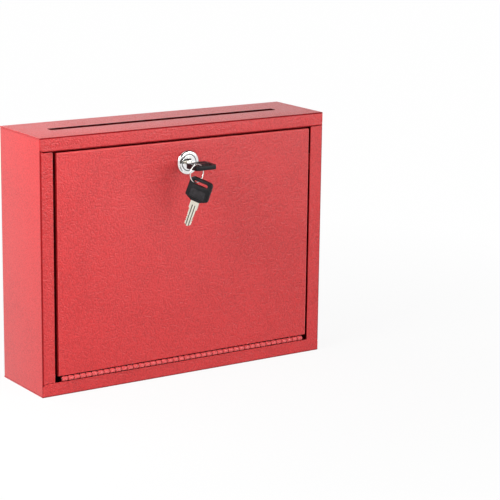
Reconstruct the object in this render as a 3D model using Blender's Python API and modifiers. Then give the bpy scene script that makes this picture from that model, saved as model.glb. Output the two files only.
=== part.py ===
"""Steel drop box: slotted top, drop-down front door on a piano hinge, cam lock, and two keys on a ring.

The origin is the middle of the underside. +Z is up, the front faces -Y, and +X is to the right from the front.
The lock and the keys are modelled in frames of their own: x to the right, y up and z out of the door's face.
"""

import math

import bmesh
import bpy
from mathutils import Matrix, Vector

# Box
BOX_WIDTH = 0.310
BOX_DEPTH = 0.0795
BOX_HEIGHT = 0.2413
SHEET = 0.001
BEND_RADIUS = 0.0012
BEND_STEPS = 3
CLEARANCE = 0.0003
SEAM = 0.0005
OVERRUN = 0.002

# Front frame
LEFT_FLANGE = 0.0126
RIGHT_FLANGE = 0.0140
TOP_FLANGE = 0.0132
BOTTOM_FLANGE = 0.0128
FLANGE_CORNER = 0.0045
TAB_DEPTH = 0.010
TAB_SETBACK = 0.004

# Paper slot in the top
SLOT_LENGTH = 0.2485
SLOT_WIDTH = 0.0094
SLOT_CORNER = 0.0016

# Holes in the back for wall screws
WALL_HOLE_SPACING = 0.200
WALL_HOLE_BELOW_TOP = 0.046
WALL_HOLE_RADIUS = 0.0045
WALL_NECK_RADIUS = 0.0025
WALL_NECK_RISE = 0.008

# Door
DOOR_GAP_LEFT = 0.0032
DOOR_GAP_RIGHT = 0.0020
DOOR_GAP_TOP = 0.0014
DOOR_RETURN = 0.012

# Piano hinge
HINGE_END_GAP = 0.0064
KNUCKLES = 43
KNUCKLE_RADIUS = 0.0020
KNUCKLE_GAP = 0.0003
HINGE_BORE = 0.0011
HINGE_PIN_RADIUS = 0.0008
HINGE_LEAF = 0.0007
HINGE_LEAF_HEIGHT = 0.0115
PIN_PROUD = 0.0002
PIN_ABOVE_FLANGE = 0.0030
DOOR_ABOVE_PIN = 0.0028

# Lock, along the axis out of the door's face
LOCK_BELOW_TOP = 0.0353
BEZEL_RADIUS = 0.0117
BEZEL_PROUD = 0.0030
BEZEL_ROUNDING = 0.0024
BARREL_RADIUS = 0.0090
BARREL_FLATS = 0.0160
HOUSING_LENGTH = 0.0165
PLUG_HEAD_RADIUS = 0.0075
PLUG_HEAD_PROUD = 0.0032
PLUG_HEAD_THICKNESS = 0.0016
PLUG_HEAD_EDGE = 0.0003
PLUG_RADIUS = 0.0063
NUT_FLATS = 0.022
NUT_THICKNESS = 0.004
WASHER_RADIUS = 0.0125
WASHER_THICKNESS = 0.0008
DRIVE_SQUARE = 0.0070
CAM_THICKNESS = 0.0020
CAM_REACH = 0.0280
CAM_TAIL = 0.0080
CAM_WIDTH = 0.0140
CAM_CORNER = 0.0030
CAM_WASHER_RADIUS = 0.0050
CAM_WASHER_THICKNESS = 0.0008
SCREW_RADIUS = 0.0019
SCREW_HEAD_RADIUS = 0.0042
SCREW_HEAD_THICKNESS = 0.0024
SCREW_SLOT_WIDTH = 0.0010
SCREW_SLOT_DEPTH = 0.0012
PLUG_WEB = 0.0008

# Tumblers
WAFERS = 5
WAFER_PITCH = 0.0020
WAFER_FIRST_DEPTH = 0.0011
WAFER_THICKNESS = 0.0008
WAFER_LENGTH = 0.0108
WAFER_HEIGHT = 0.0060

# Keys, along the blade from the bow's near end
KEY_STANDOFF = 0.0129
SHANK_WIDTH = 0.0085
SHANK_LENGTH = 0.0080
SHOULDER_SLOPE = 0.0004
BLADE_WIDTH = 0.0069
BLADE_LENGTH = 0.0252
BLADE_THICKNESS = 0.0020
BLADE_TIP = 0.0022
BLADE_CUT_DEPTH = 0.0009
BLADE_CUT_FLOOR = 0.0006
BLADE_CUT_FLANK = 0.0005
BLADE_CUT_SHARES = (0.45, 1.0, 0.6, 0.9, 0.35)
BLADE_GROOVE_WIDTH = 0.0009
BLADE_GROOVE_DEPTH = 0.0004
BLADE_GROOVE_OFFSET = 0.0014
TANG_WIDTH = 0.0070
TANG_LENGTH = 0.0060
BOW_WIDTH = 0.0225
BOW_LENGTH = 0.0218
BOW_THICKNESS = 0.0050
BOW_FAR_THICKNESS = 0.0043
BOW_TAPER_START = 0.0100
BOW_EDGE = 0.0007
BOW_NEAR_CHAMFER = (0.0068, 0.0040)
BOW_FAR_CORNER = 0.0036
BOW_SLOT_LENGTH = 0.0140
BOW_SLOT_WIDTH = 0.0034
BOW_SLOT_CORNER = 0.0010
BOW_SLOT_FROM_FAR_END = 0.0046
BOW_PANEL = (0.0150, 0.0080)
BOW_PANEL_CORNER = 0.0030
BOW_PANEL_DEPTH = 0.0005
BOW_PANEL_PLACE = 0.0075

# Ring and hanging key
RING_RADIUS = 0.0084
RING_WIRE = 0.0006
RING_DROP = 0.0046
RING_YAW = math.radians(12.0)
RING_OUT = 0.0009
SPARE_YAW = math.radians(-64.4)
SPARE_LEAN = math.radians(19.0)
SPARE_PLACE_IN_SLOT = 0.0048
SPARE_RISE = 0.0

# Door stops
STOP_WIDTH = 0.016
STOP_BELOW_TOP = 0.040
STOP_WELD_LEG = 0.009
STOP_CATCH_LEG = 0.008

# Facets
TURN_STEPS = 32
KNUCKLE_STEPS = 16
BORE_STEPS = 12
CORNER_STEPS = 5

FRONT = -BOX_DEPTH / 2
BACK = BOX_DEPTH / 2
SIDE = BOX_WIDTH / 2
OPENING_LEFT = -SIDE + LEFT_FLANGE
OPENING_RIGHT = SIDE - RIGHT_FLANGE
OPENING_MIDDLE = (OPENING_LEFT + OPENING_RIGHT) / 2
OPENING_TOP = BOX_HEIGHT - TOP_FLANGE
PIN_Y = FRONT - PIN_PROUD
PIN_Z = BOTTOM_FLANGE + PIN_ABOVE_FLANGE
DOOR_LEFT = OPENING_LEFT + DOOR_GAP_LEFT
DOOR_RIGHT = OPENING_RIGHT - DOOR_GAP_RIGHT
DOOR_WIDTH = DOOR_RIGHT - DOOR_LEFT
DOOR_MIDDLE = (DOOR_LEFT + DOOR_RIGHT) / 2
DOOR_BOTTOM = PIN_Z + DOOR_ABOVE_PIN
DOOR_TOP = OPENING_TOP - DOOR_GAP_TOP
DOOR_HEIGHT = DOOR_TOP - DOOR_BOTTOM
HINGE_LENGTH = OPENING_RIGHT - OPENING_LEFT - 2 * HINGE_END_GAP
LOCK_Z = BOX_HEIGHT - LOCK_BELOW_TOP
LIP_DEPTH = HOUSING_LENGTH
CAM_FRONT = -HOUSING_LENGTH - CLEARANCE
CAM_BACK = CAM_FRONT - CAM_THICKNESS
WASHER_BACK = CAM_BACK - CLEARANCE - CAM_WASHER_THICKNESS
KEY_TIP = KEY_STANDOFF - BLADE_LENGTH
KEYWAY_END = KEY_TIP - CLEARANCE
SCREW_HOLE_END = KEYWAY_END - PLUG_WEB
BOW_SLOT_PLACE = BOW_LENGTH - BOW_SLOT_FROM_FAR_END
BOW_RIM_MIDDLE = (BOW_WIDTH + BOW_SLOT_LENGTH) / 4


def clear_scene():
    for item in list(bpy.data.objects):
        bpy.data.objects.remove(item, do_unlink=True)


def collection(name):
    made = bpy.data.collections.new(name)
    bpy.context.scene.collection.children.link(made)
    return made


def finish(name, colour, roughness, metallic):
    made = bpy.data.materials.new(name)
    made.use_nodes = True
    shader = made.node_tree.nodes["Principled BSDF"]
    shader.inputs["Base Color"].default_value = (*colour, 1.0)
    shader.inputs["Roughness"].default_value = roughness
    shader.inputs["Metallic"].default_value = metallic
    return made


class Workshop:
    """The collections that hold the pieces and their cutters, and the finishes that the pieces wear."""

    def __init__(self):
        self.pieces = collection("drop_box")
        self.cutters = collection("cutters")
        self.red = finish("red_powder_coat", (0.60, 0.06, 0.06), 0.45, 0.0)
        self.chrome = finish("chrome", (0.80, 0.80, 0.80), 0.08, 1.0)
        self.steel = finish("zinc_plated_steel", (0.62, 0.62, 0.60), 0.35, 1.0)
        self.brass = finish("brass", (0.75, 0.58, 0.28), 0.30, 1.0)
        self.nickel = finish("nickel_silver", (0.72, 0.69, 0.60), 0.25, 1.0)
        self.plastic = finish("black_plastic", (0.02, 0.02, 0.022), 0.40, 0.0)


def pivot(shop, name, place, turn=(0.0, 0.0, 0.0), parent=None):
    """An empty that carries the pieces which move together."""
    made = bpy.data.objects.new(name, None)
    made.location = place
    made.rotation_euler = turn
    made.parent = parent
    shop.pieces.objects.link(made)
    return made


def piece(shop, name, mesh, material, parent=None, place=(0.0, 0.0, 0.0)):
    made = bpy.data.objects.new(name, mesh)
    made.location = place
    made.parent = parent
    mesh.materials.clear()
    mesh.materials.append(material)
    shop.pieces.objects.link(made)
    return made


def helper(shop, name, mesh, target):
    """A body that only cuts or joins the target, in the target's own frame."""
    made = bpy.data.objects.new(name, mesh)
    made.location = target.location
    made.rotation_euler = target.rotation_euler
    made.parent = target.parent
    made.display_type = "WIRE"
    made.hide_render = True
    shop.cutters.objects.link(made)
    return made


def combine(shop, target, mesh, operation):
    made = helper(shop, f"{target.name}_{operation.lower()}_{len(target.modifiers)}", mesh, target)
    change = target.modifiers.new(made.name, "BOOLEAN")
    change.operation = operation
    change.solver = "EXACT"
    change.object = made


def cut(shop, target, mesh):
    combine(shop, target, mesh, "DIFFERENCE")


def join(shop, target, mesh):
    combine(shop, target, mesh, "UNION")


def bevel(target, width, steps):
    change = target.modifiers.new("edges", "BEVEL")
    change.width = width
    change.segments = steps
    change.limit_method = "ANGLE"
    change.angle_limit = math.radians(30.0)


def thicken(target):
    """Gives a surface the sheet's thickness, inward from its outer faces."""
    change = target.modifiers.new("sheet", "SOLIDIFY")
    change.thickness = SHEET
    change.offset = -1.0
    change.use_even_offset = True


def finished_mesh(name, shape):
    mesh = bpy.data.meshes.new(name)
    shape.to_mesh(mesh)
    shape.free()
    mesh.shade_smooth()
    mesh.set_sharp_from_angle(angle=math.radians(35.0))
    return mesh


def add_block(shape, low, high):
    """Adds a box between two corners to a bmesh."""
    low, high = Vector(low), Vector(high)
    size = Matrix.Diagonal((*(high - low), 1.0))
    bmesh.ops.create_cube(shape, size=1.0, matrix=Matrix.Translation((low + high) / 2) @ size)


def block(name, low, high):
    shape = bmesh.new()
    add_block(shape, low, high)
    return finished_mesh(name, shape)


def blocks(name, corners):
    """Several separate boxes in one mesh."""
    shape = bmesh.new()
    for low, high in corners:
        add_block(shape, low, high)
    return finished_mesh(name, shape)


def rod(name, radius, low, high, steps, axis="Z"):
    """A cylinder about an axis, from low to high along it."""
    turn = Matrix.Rotation(math.pi / 2, 4, "Y") if axis == "X" else Matrix.Identity(4)
    place = turn @ Matrix.Translation((0.0, 0.0, (low + high) / 2))
    shape = bmesh.new()
    bmesh.ops.create_cone(
        shape, cap_ends=True, segments=steps, radius1=radius, radius2=radius, depth=high - low, matrix=place
    )
    return finished_mesh(name, shape)


def arc(centre, radius, start, end, steps=CORNER_STEPS):
    """Points on an arc, with its angles in degrees."""
    angles = [math.radians(start + (end - start) * i / steps) for i in range(steps + 1)]
    return [(centre[0] + radius * math.cos(a), centre[1] + radius * math.sin(a)) for a in angles]


def rounded_rectangle(left, bottom, right, top, radius):
    return (
        arc((right - radius, bottom + radius), radius, -90, 0)
        + arc((right - radius, top - radius), radius, 0, 90)
        + arc((left + radius, top - radius), radius, 90, 180)
        + arc((left + radius, bottom + radius), radius, 180, 270)
    )


def circle(radius, steps):
    return [
        (radius * math.cos(2 * math.pi * i / steps), radius * math.sin(2 * math.pi * i / steps)) for i in range(steps)
    ]


def double_d(radius, flats, steps):
    """A circle with two flat sides, left and right."""
    half = flats / 2
    return [(max(-half, min(half, x)), y) for x, y in circle(radius, steps)]


def plate(name, outlines, thickness, turn=None):
    """A flat plate about z = 0 whose first outline is its edge and whose others are holes."""
    curve = bpy.data.curves.new(name, "CURVE")
    curve.dimensions = "2D"
    curve.fill_mode = "BOTH"
    curve.extrude = thickness / 2
    for outline in outlines:
        spline = curve.splines.new("POLY")
        spline.points.add(len(outline) - 1)
        for point, (x, y) in zip(spline.points, outline):
            point.co = (x, y, 0.0, 1.0)
        spline.use_cyclic_u = True
    guide = bpy.data.objects.new(name, curve)
    bpy.context.scene.collection.objects.link(guide)
    bpy.context.view_layer.update()
    raw = bpy.data.meshes.new_from_object(guide.evaluated_get(bpy.context.evaluated_depsgraph_get()))
    bpy.data.objects.remove(guide, do_unlink=True)
    shape = bmesh.new()
    shape.from_mesh(raw)
    bpy.data.meshes.remove(raw)
    bmesh.ops.remove_doubles(shape, verts=shape.verts, dist=CLEARANCE / 100)
    if turn is not None:
        bmesh.ops.transform(shape, matrix=turn, verts=shape.verts)
    bmesh.ops.recalc_face_normals(shape, faces=shape.faces)
    return finished_mesh(name, shape)


def upright(name, outlines, thickness, middle=0.0):
    """A plate that stands in the XZ plane, with its thickness about y = middle."""
    turn = Matrix.Translation((0.0, middle, 0.0)) @ Matrix.Rotation(math.pi / 2, 4, "X")
    return plate(name, outlines, thickness, turn)


def turned(shop, name, profile, material, parent=None, closed=True, steps=TURN_STEPS):
    """A piece turned about z from a profile of (radius, height) points that runs down its outer side."""
    mesh = bpy.data.meshes.new(name)
    edges = [(i, i + 1) for i in range(len(profile) - 1)]
    if closed:
        edges.append((len(profile) - 1, 0))
    mesh.from_pydata([(r, 0.0, z) for r, z in profile], edges, [])
    made = piece(shop, name, mesh, material, parent)
    change = made.modifiers.new("turn", "SCREW")
    change.steps = steps
    change.render_steps = steps
    change.use_merge_vertices = True
    change.merge_threshold = CLEARANCE / 100
    return made


def open_box(low, high, removed):
    """The faces of a box without those that face the removed directions, for sheet metal."""
    shape = bmesh.new()
    add_block(shape, low, high)
    shape.normal_update()
    gone = [f for f in shape.faces if any(f.normal.dot(Vector(d)) > 0.5 for d in removed)]
    bmesh.ops.delete(shape, geom=gone, context="FACES")
    return shape


def fold(shape, is_edge, move):
    """Folds a strip out from the edge that the test names, by the given move."""
    edge = next(e for e in shape.edges if is_edge(e.verts[0].co) and is_edge(e.verts[1].co))
    made = bmesh.ops.extrude_edge_only(shape, edges=[edge])["geom"]
    bmesh.ops.translate(shape, vec=move, verts=[v for v in made if isinstance(v, bmesh.types.BMVert)])


def face_outward(shape):
    """Turns the faces of an open sheet away from its middle."""
    bmesh.ops.recalc_face_normals(shape, faces=shape.faces)
    middle = sum((v.co for v in shape.verts), Vector()) / len(shape.verts)
    spread = sum(f.normal.dot(f.calc_center_median() - middle) * f.calc_area() for f in shape.faces)
    if spread < 0:
        bmesh.ops.reverse_faces(shape, faces=shape.faces)


def flange_pocket(name, flange_edge, upward):
    """Clears the shell's front for an end panel's flange, with a seam around its rounded corners."""
    side = 1 if upward else -1
    centre_z = flange_edge + side * FLANGE_CORNER
    far_z = flange_edge + side * (TOP_FLANGE + BOTTOM_FLANGE)
    outer = SIDE + OVERRUN
    centre_x = SIDE - FLANGE_CORNER
    grown = FLANGE_CORNER + SEAM
    left = arc((-centre_x, centre_z), grown, 180, 180 + side * 90)
    right = arc((centre_x, centre_z), grown, -side * 90, 0)
    outline = [(-outer, far_z), (-outer, centre_z)] + left + right + [(outer, centre_z), (outer, far_z)]
    depth = OVERRUN + SHEET + CLEARANCE
    return upright(name, [outline], depth, FRONT - OVERRUN + depth / 2)


def cabinet_shell(shop):
    low_z = SHEET + CLEARANCE
    high_z = BOX_HEIGHT - SHEET - CLEARANCE
    shape = open_box((-SIDE, FRONT, low_z), (SIDE, BACK, high_z), ((0, 0, 1), (0, 0, -1), (0, -1, 0)))
    near = CLEARANCE / 100
    for x, inward in ((-SIDE, LEFT_FLANGE), (SIDE, -RIGHT_FLANGE)):
        corner = Vector((x, FRONT))
        fold(shape, lambda co, c=corner: (co.xy - c).length < near, (inward, 0.0, 0.0))
    face_outward(shape)
    made = piece(shop, "cabinet_shell", finished_mesh("cabinet_shell", shape), shop.red)
    bevel(made, BEND_RADIUS, BEND_STEPS)
    thicken(made)
    cut(shop, made, flange_pocket("top_pocket", OPENING_TOP, True))
    cut(shop, made, flange_pocket("bottom_pocket", BOTTOM_FLANGE, False))
    cut(shop, made, wall_holes("wall_holes"))


def wall_holes(name):
    """Two keyholes in the back, as one mesh: a round hole with a neck that rises from it."""
    shape = bmesh.new()
    depth = SHEET + 2 * OVERRUN
    for side in (-1, 1):
        x = side * WALL_HOLE_SPACING / 2
        z = BOX_HEIGHT - WALL_HOLE_BELOW_TOP
        meet = math.sqrt(WALL_HOLE_RADIUS**2 - WALL_NECK_RADIUS**2)
        start = math.degrees(math.atan2(meet, WALL_NECK_RADIUS))
        outline = arc((x, z), WALL_HOLE_RADIUS, 180 - start, 360 + start, 12)
        outline += arc((x, z + WALL_NECK_RISE), WALL_NECK_RADIUS, 0, 180, 6)
        shape.from_mesh(upright(name, [outline], depth, BACK - SHEET / 2))
    return finished_mesh(name, shape)


def corner_rounders(name, flange_height):
    """Two cutters that round a flange's outer corners, in the end panel's own frame."""
    shape = bmesh.new()
    depth = SHEET + 2 * OVERRUN
    low = -flange_height
    for side in (-1, 1):
        centre = (side * (SIDE - FLANGE_CORNER), low + FLANGE_CORNER)
        start = 0 if side > 0 else 180
        curve = arc(centre, FLANGE_CORNER, start, start - side * 90)
        outer = side * (SIDE + OVERRUN)
        outline = [(outer, low - OVERRUN), (outer, centre[1])] + curve + [(centre[0], low - OVERRUN)]
        shape.from_mesh(upright(name, [outline], depth, FRONT + SHEET / 2))
    return finished_mesh(name, shape)


def end_panel(shop, name, flange_height, lip_depth, place, turn):
    """A sheet end of the box with its front flange, a lip behind it and three tabs that lie inside the shell.

    Its frame has z = 0 on the outer face and the box below it.
    """
    low = -flange_height
    shape = open_box((-SIDE, FRONT, low), (SIDE, BACK, 0.0), ((0, 0, -1), (0, 1, 0), (1, 0, 0), (-1, 0, 0)))
    near = CLEARANCE / 100
    if lip_depth:
        fold(shape, lambda co: abs(co.y - FRONT) < near and abs(co.z - low) < near, (0.0, lip_depth, 0.0))
    face_outward(shape)
    made = piece(shop, name, finished_mesh(name, shape), shop.red, place=place)
    made.rotation_euler = turn
    bevel(made, BEND_RADIUS, BEND_STEPS)
    thicken(made)
    if lip_depth:
        left, right = OPENING_LEFT + SHEET, OPENING_RIGHT - SHEET
        near_y, far_y = FRONT + SHEET + BEND_RADIUS, FRONT + lip_depth + OVERRUN
        cut(shop, made, blocks(f"{name}_lip_ends", [
            ((right, near_y, low - OVERRUN), (SIDE + OVERRUN, far_y, low + SHEET + OVERRUN)),
            ((-SIDE - OVERRUN, near_y, low - OVERRUN), (left, far_y, low + SHEET + OVERRUN)),
        ]))
    tab_outer = SHEET + CLEARANCE
    tab_inner = tab_outer + SHEET
    y_low, y_high = FRONT + TAB_SETBACK, BACK - TAB_SETBACK
    half = SIDE - TAB_SETBACK
    join(shop, made, blocks(f"{name}_tabs", [
        ((-SIDE + tab_outer, y_low, -TAB_DEPTH), (-SIDE + tab_inner, y_high, -SHEET / 2)),
        ((SIDE - tab_inner, y_low, -TAB_DEPTH), (SIDE - tab_outer, y_high, -SHEET / 2)),
        ((-half, BACK - tab_inner, -TAB_DEPTH), (half, BACK - tab_outer, -SHEET / 2)),
    ]))
    cut(shop, made, corner_rounders(f"{name}_corners", flange_height))
    return made


def top_panel(shop):
    made = end_panel(shop, "top_panel", TOP_FLANGE, LIP_DEPTH, (0.0, 0.0, BOX_HEIGHT), (0.0, 0.0, 0.0))
    length, width = SLOT_LENGTH / 2, SLOT_WIDTH / 2
    outline = rounded_rectangle(OPENING_MIDDLE - length, -width, OPENING_MIDDLE + length, width, SLOT_CORNER)
    cut(shop, made, plate("paper_slot", [outline], 2 * (SHEET + OVERRUN)))


def bottom_panel(shop):
    end_panel(shop, "bottom_panel", BOTTOM_FLANGE, 0.0, (0.0, 0.0, 0.0), (0.0, math.pi, 0.0))


def door_panel(shop, door):
    """The door's pan, with its frame at the middle of its lower edge on the front face."""
    half = DOOR_WIDTH / 2
    shape = open_box((-half, 0.0, 0.0), (half, DOOR_RETURN, DOOR_HEIGHT), ((0, 1, 0), (0, 0, -1)))
    face_outward(shape)
    place = (DOOR_MIDDLE - OPENING_MIDDLE, FRONT - PIN_Y, DOOR_BOTTOM - PIN_Z)
    made = piece(shop, "door_panel", finished_mesh("door_panel", shape), shop.red, door, place)
    bevel(made, BEND_RADIUS, BEND_STEPS)
    thicken(made)
    hole = double_d(BARREL_RADIUS + CLEARANCE, BARREL_FLATS + 2 * CLEARANCE, TURN_STEPS)
    height = LOCK_Z - DOOR_BOTTOM
    outline = [(x + OPENING_MIDDLE - DOOR_MIDDLE, z + height) for x, z in hole]
    cut(shop, made, upright("lock_hole", [outline], SHEET + 2 * OVERRUN, SHEET / 2))


def door_stop(shop, name, side, bend, gap):
    """A bent clip behind a side flange's edge. The closed door's folded edge rests on it."""
    weld_front = FRONT + SHEET + CLEARANCE
    catch_front = FRONT + DOOR_RETURN + CLEARANCE
    root = bend + STOP_WELD_LEG
    tip = bend - gap - STOP_CATCH_LEG
    outline = [
        (root, weld_front), (bend, weld_front), (bend, catch_front), (tip, catch_front),
        (tip, catch_front + SHEET), (bend + SHEET, catch_front + SHEET), (bend + SHEET, weld_front + SHEET),
        (root, weld_front + SHEET),
    ]
    top = BOX_HEIGHT - STOP_BELOW_TOP
    mesh = plate(name, [[(side * x, y) for x, y in outline]], STOP_WIDTH)
    piece(shop, name, mesh, shop.red, place=(0.0, 0.0, top - STOP_WIDTH / 2))


def knuckle_ends(index):
    pitch = HINGE_LENGTH / KNUCKLES
    start = -HINGE_LENGTH / 2 + index * pitch
    return start, start + pitch


def hinge_leaf(shop, name, side, first_notch, parent, place):
    """Half of the hinge about the pin's axis: side +1 rises behind the door, -1 hangs behind the bottom flange."""
    half = HINGE_LENGTH / 2
    leaf_front = PIN_PROUD + SHEET + CLEARANCE
    leaf_back = leaf_front + HINGE_LEAF
    made = piece(shop, name, rod(name, KNUCKLE_RADIUS, -half, half, KNUCKLE_STEPS, "X"), shop.red, parent, place)
    ends = sorted((0.0, side * HINGE_LEAF_HEIGHT))
    join(shop, made, block(f"{name}_plate", (-half, leaf_front, ends[0]), (half, leaf_back, ends[1])))
    cut(shop, made, rod(f"{name}_bore", HINGE_BORE, -half - OVERRUN, half + OVERRUN, BORE_STEPS, "X"))
    reach = KNUCKLE_RADIUS + KNUCKLE_GAP
    low, high = sorted((-side * (KNUCKLE_RADIUS + OVERRUN), side * reach))
    notches = []
    for index in range(first_notch, KNUCKLES, 2):
        start, end = knuckle_ends(index)
        start = start - KNUCKLE_GAP / 2 if index else start - OVERRUN
        end = end + KNUCKLE_GAP / 2 if index < KNUCKLES - 1 else end + OVERRUN
        notches.append(((start, -KNUCKLE_RADIUS - OVERRUN, low), (end, leaf_back + OVERRUN, high)))
    cut(shop, made, blocks(f"{name}_notches", notches))


def hinge_pin(shop):
    half = HINGE_LENGTH / 2
    mesh = rod("hinge_pin", HINGE_PIN_RADIUS, -half, half, BORE_STEPS, "X")
    piece(shop, "hinge_pin", mesh, shop.steel, place=(OPENING_MIDDLE, PIN_Y, PIN_Z))


def lock_housing(shop, lock):
    seat = PLUG_HEAD_PROUD - PLUG_HEAD_THICKNESS - CLEARANCE
    head_bore = PLUG_HEAD_RADIUS + CLEARANCE
    centre = (BEZEL_RADIUS - BEZEL_ROUNDING, BEZEL_PROUD - BEZEL_ROUNDING)
    profile = [
        (head_bore, BEZEL_PROUD), *arc(centre, BEZEL_ROUNDING, 90, 0, CORNER_STEPS), (BEZEL_RADIUS, CLEARANCE),
        (BARREL_RADIUS, CLEARANCE), (BARREL_RADIUS, -HOUSING_LENGTH), (PLUG_RADIUS + CLEARANCE, -HOUSING_LENGTH),
        (PLUG_RADIUS + CLEARANCE, seat), (head_bore, seat),
    ]
    made = turned(shop, "lock_housing", profile, shop.chrome, lock)
    outer = BARREL_RADIUS + OVERRUN
    low = -HOUSING_LENGTH - OVERRUN
    cut(shop, made, blocks("barrel_flats", [
        ((BARREL_FLATS / 2, -outer, low), (outer, outer, CLEARANCE / 2)),
        ((-outer, -outer, low), (-BARREL_FLATS / 2, outer, CLEARANCE / 2)),
    ]))


def lock_fasteners(shop, lock):
    hole = BARREL_RADIUS + CLEARANCE
    washer_front = -SHEET - CLEARANCE
    washer_back = washer_front - WASHER_THICKNESS
    turned(shop, "nut_washer", [
        (WASHER_RADIUS, washer_front), (WASHER_RADIUS, washer_back), (hole, washer_back), (hole, washer_front),
    ], shop.steel, lock)
    corners = circle(NUT_FLATS / math.sqrt(3), 6)
    mesh = plate("lock_nut", [corners, circle(hole, TURN_STEPS)], NUT_THICKNESS)
    place = (0.0, 0.0, washer_back - CLEARANCE - NUT_THICKNESS / 2)
    piece(shop, "lock_nut", mesh, shop.steel, lock, place)


def wafer_place(index):
    return -WAFER_FIRST_DEPTH - index * WAFER_PITCH


def lock_plug(shop, plug):
    top = PLUG_HEAD_PROUD
    under_head = top - PLUG_HEAD_THICKNESS
    profile = [
        (0.0, top), (PLUG_HEAD_RADIUS - PLUG_HEAD_EDGE, top), (PLUG_HEAD_RADIUS, top - PLUG_HEAD_EDGE),
        (PLUG_HEAD_RADIUS, under_head), (PLUG_RADIUS, under_head), (PLUG_RADIUS, -HOUSING_LENGTH),
        (0.0, -HOUSING_LENGTH),
    ]
    made = turned(shop, "lock_plug", profile, shop.chrome, plug, closed=False)
    square = DRIVE_SQUARE / 2
    join(shop, made, block("cam_drive", (-square, -square, CAM_BACK), (square, square, -HOUSING_LENGTH + PLUG_WEB)))
    key_x = BLADE_WIDTH / 2 + CLEARANCE
    key_y = BLADE_THICKNESS / 2 + CLEARANCE
    cut(shop, made, block("keyway", (-key_x, -key_y, KEYWAY_END), (key_x, key_y, top + OVERRUN)))
    slot_y = WAFER_HEIGHT / 2 + CLEARANCE
    slot_z = WAFER_THICKNESS / 2 + CLEARANCE
    outer = PLUG_RADIUS + OVERRUN
    cut(shop, made, blocks("wafer_slots", [
        ((-outer, -slot_y, wafer_place(i) - slot_z), (outer, slot_y, wafer_place(i) + slot_z)) for i in range(WAFERS)
    ]))
    cut(shop, made, rod("screw_hole", SCREW_RADIUS + CLEARANCE, CAM_BACK - OVERRUN, SCREW_HOLE_END, BORE_STEPS))


def wafers(shop, plug):
    half_x, half_y, half_z = WAFER_LENGTH / 2, WAFER_HEIGHT / 2, WAFER_THICKNESS / 2
    window_x = BLADE_WIDTH / 2 + CLEARANCE
    window_y = BLADE_THICKNESS / 2 + CLEARANCE
    outline = rounded_rectangle(-half_x, -half_y, half_x, half_y, WAFER_THICKNESS)
    window = [(-window_x, -window_y), (window_x, -window_y), (window_x, window_y), (-window_x, window_y)]
    for index in range(WAFERS):
        name = f"wafer_{index + 1}"
        piece(shop, name, plate(name, [outline, window], 2 * half_z), shop.brass, plug, (0.0, 0.0, wafer_place(index)))


def cam(shop, plug):
    half = CAM_WIDTH / 2
    square = DRIVE_SQUARE / 2 + CLEARANCE
    outline = rounded_rectangle(-CAM_TAIL, -half, CAM_REACH, half, CAM_CORNER)
    hole = [(-square, -square), (square, -square), (square, square), (-square, square)]
    middle = (CAM_FRONT + CAM_BACK) / 2
    piece(shop, "lock_cam", plate("lock_cam", [outline, hole], CAM_THICKNESS), shop.steel, plug, (0.0, 0.0, middle))


def cam_fasteners(shop, plug):
    washer_front = CAM_BACK - CLEARANCE
    hole = SCREW_RADIUS + CLEARANCE
    turned(shop, "cam_washer", [
        (CAM_WASHER_RADIUS, washer_front), (CAM_WASHER_RADIUS, WASHER_BACK), (hole, WASHER_BACK), (hole, washer_front),
    ], shop.steel, plug, steps=TURN_STEPS // 2)
    head_front = WASHER_BACK - CLEARANCE
    head_back = head_front - SCREW_HEAD_THICKNESS
    edge = SCREW_HEAD_THICKNESS / 3
    made = turned(shop, "cam_screw", [
        (0.0, SCREW_HOLE_END - CLEARANCE), (SCREW_RADIUS, SCREW_HOLE_END - CLEARANCE), (SCREW_RADIUS, head_front),
        (SCREW_HEAD_RADIUS, head_front), (SCREW_HEAD_RADIUS, head_back + edge),
        (SCREW_HEAD_RADIUS - edge, head_back), (0.0, head_back),
    ], shop.steel, plug, closed=False, steps=TURN_STEPS // 2)
    slot = SCREW_SLOT_WIDTH / 2
    reach = SCREW_HEAD_RADIUS + OVERRUN
    low, high = head_back - OVERRUN, head_back + SCREW_SLOT_DEPTH
    cut(shop, made, block("screw_slot", (-reach, -slot, low), (reach, slot, high)))


def blade_edge():
    """Half of the blade's outline, from the tang's end down to the tip, as (x, z) points."""
    half = BLADE_WIDTH / 2
    top = -CLEARANCE
    points = [(TANG_WIDTH / 2, TANG_LENGTH), (TANG_WIDTH / 2, top), (SHANK_WIDTH / 2, top)]
    points += [(SHANK_WIDTH / 2, -SHANK_LENGTH + SHOULDER_SLOPE), (half, -SHANK_LENGTH)]
    for index, share in enumerate(BLADE_CUT_SHARES):
        z = wafer_place(index) - KEY_STANDOFF
        floor, mouth = BLADE_CUT_FLOOR / 2, BLADE_CUT_FLOOR / 2 + BLADE_CUT_FLANK
        depth = share * BLADE_CUT_DEPTH
        points += [(half, z + mouth), (half - depth, z + floor), (half - depth, z - floor), (half, z - mouth)]
    points += [(half, -BLADE_LENGTH + BLADE_TIP), (half - BLADE_TIP, -BLADE_LENGTH)]
    return points


def key_blade(shop, name, parent, place):
    right = blade_edge()
    left = [(-x, z) for x, z in reversed(right)]
    made = piece(shop, name, upright(name, [right + left], BLADE_THICKNESS), shop.nickel, parent, place)
    half = BLADE_GROOVE_WIDTH / 2
    floor = BLADE_THICKNESS / 2 - BLADE_GROOVE_DEPTH
    outer = BLADE_THICKNESS / 2 + OVERRUN
    low, high = -BLADE_LENGTH - OVERRUN, -SHANK_LENGTH / 2
    middles = (-BLADE_GROOVE_OFFSET, BLADE_GROOVE_OFFSET)
    cut(shop, made, blocks(f"{name}_grooves", [
        ((x - half, near, low), (x + half, far, high))
        for x in middles for near, far in ((-outer, -floor), (floor, outer))
    ]))


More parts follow.
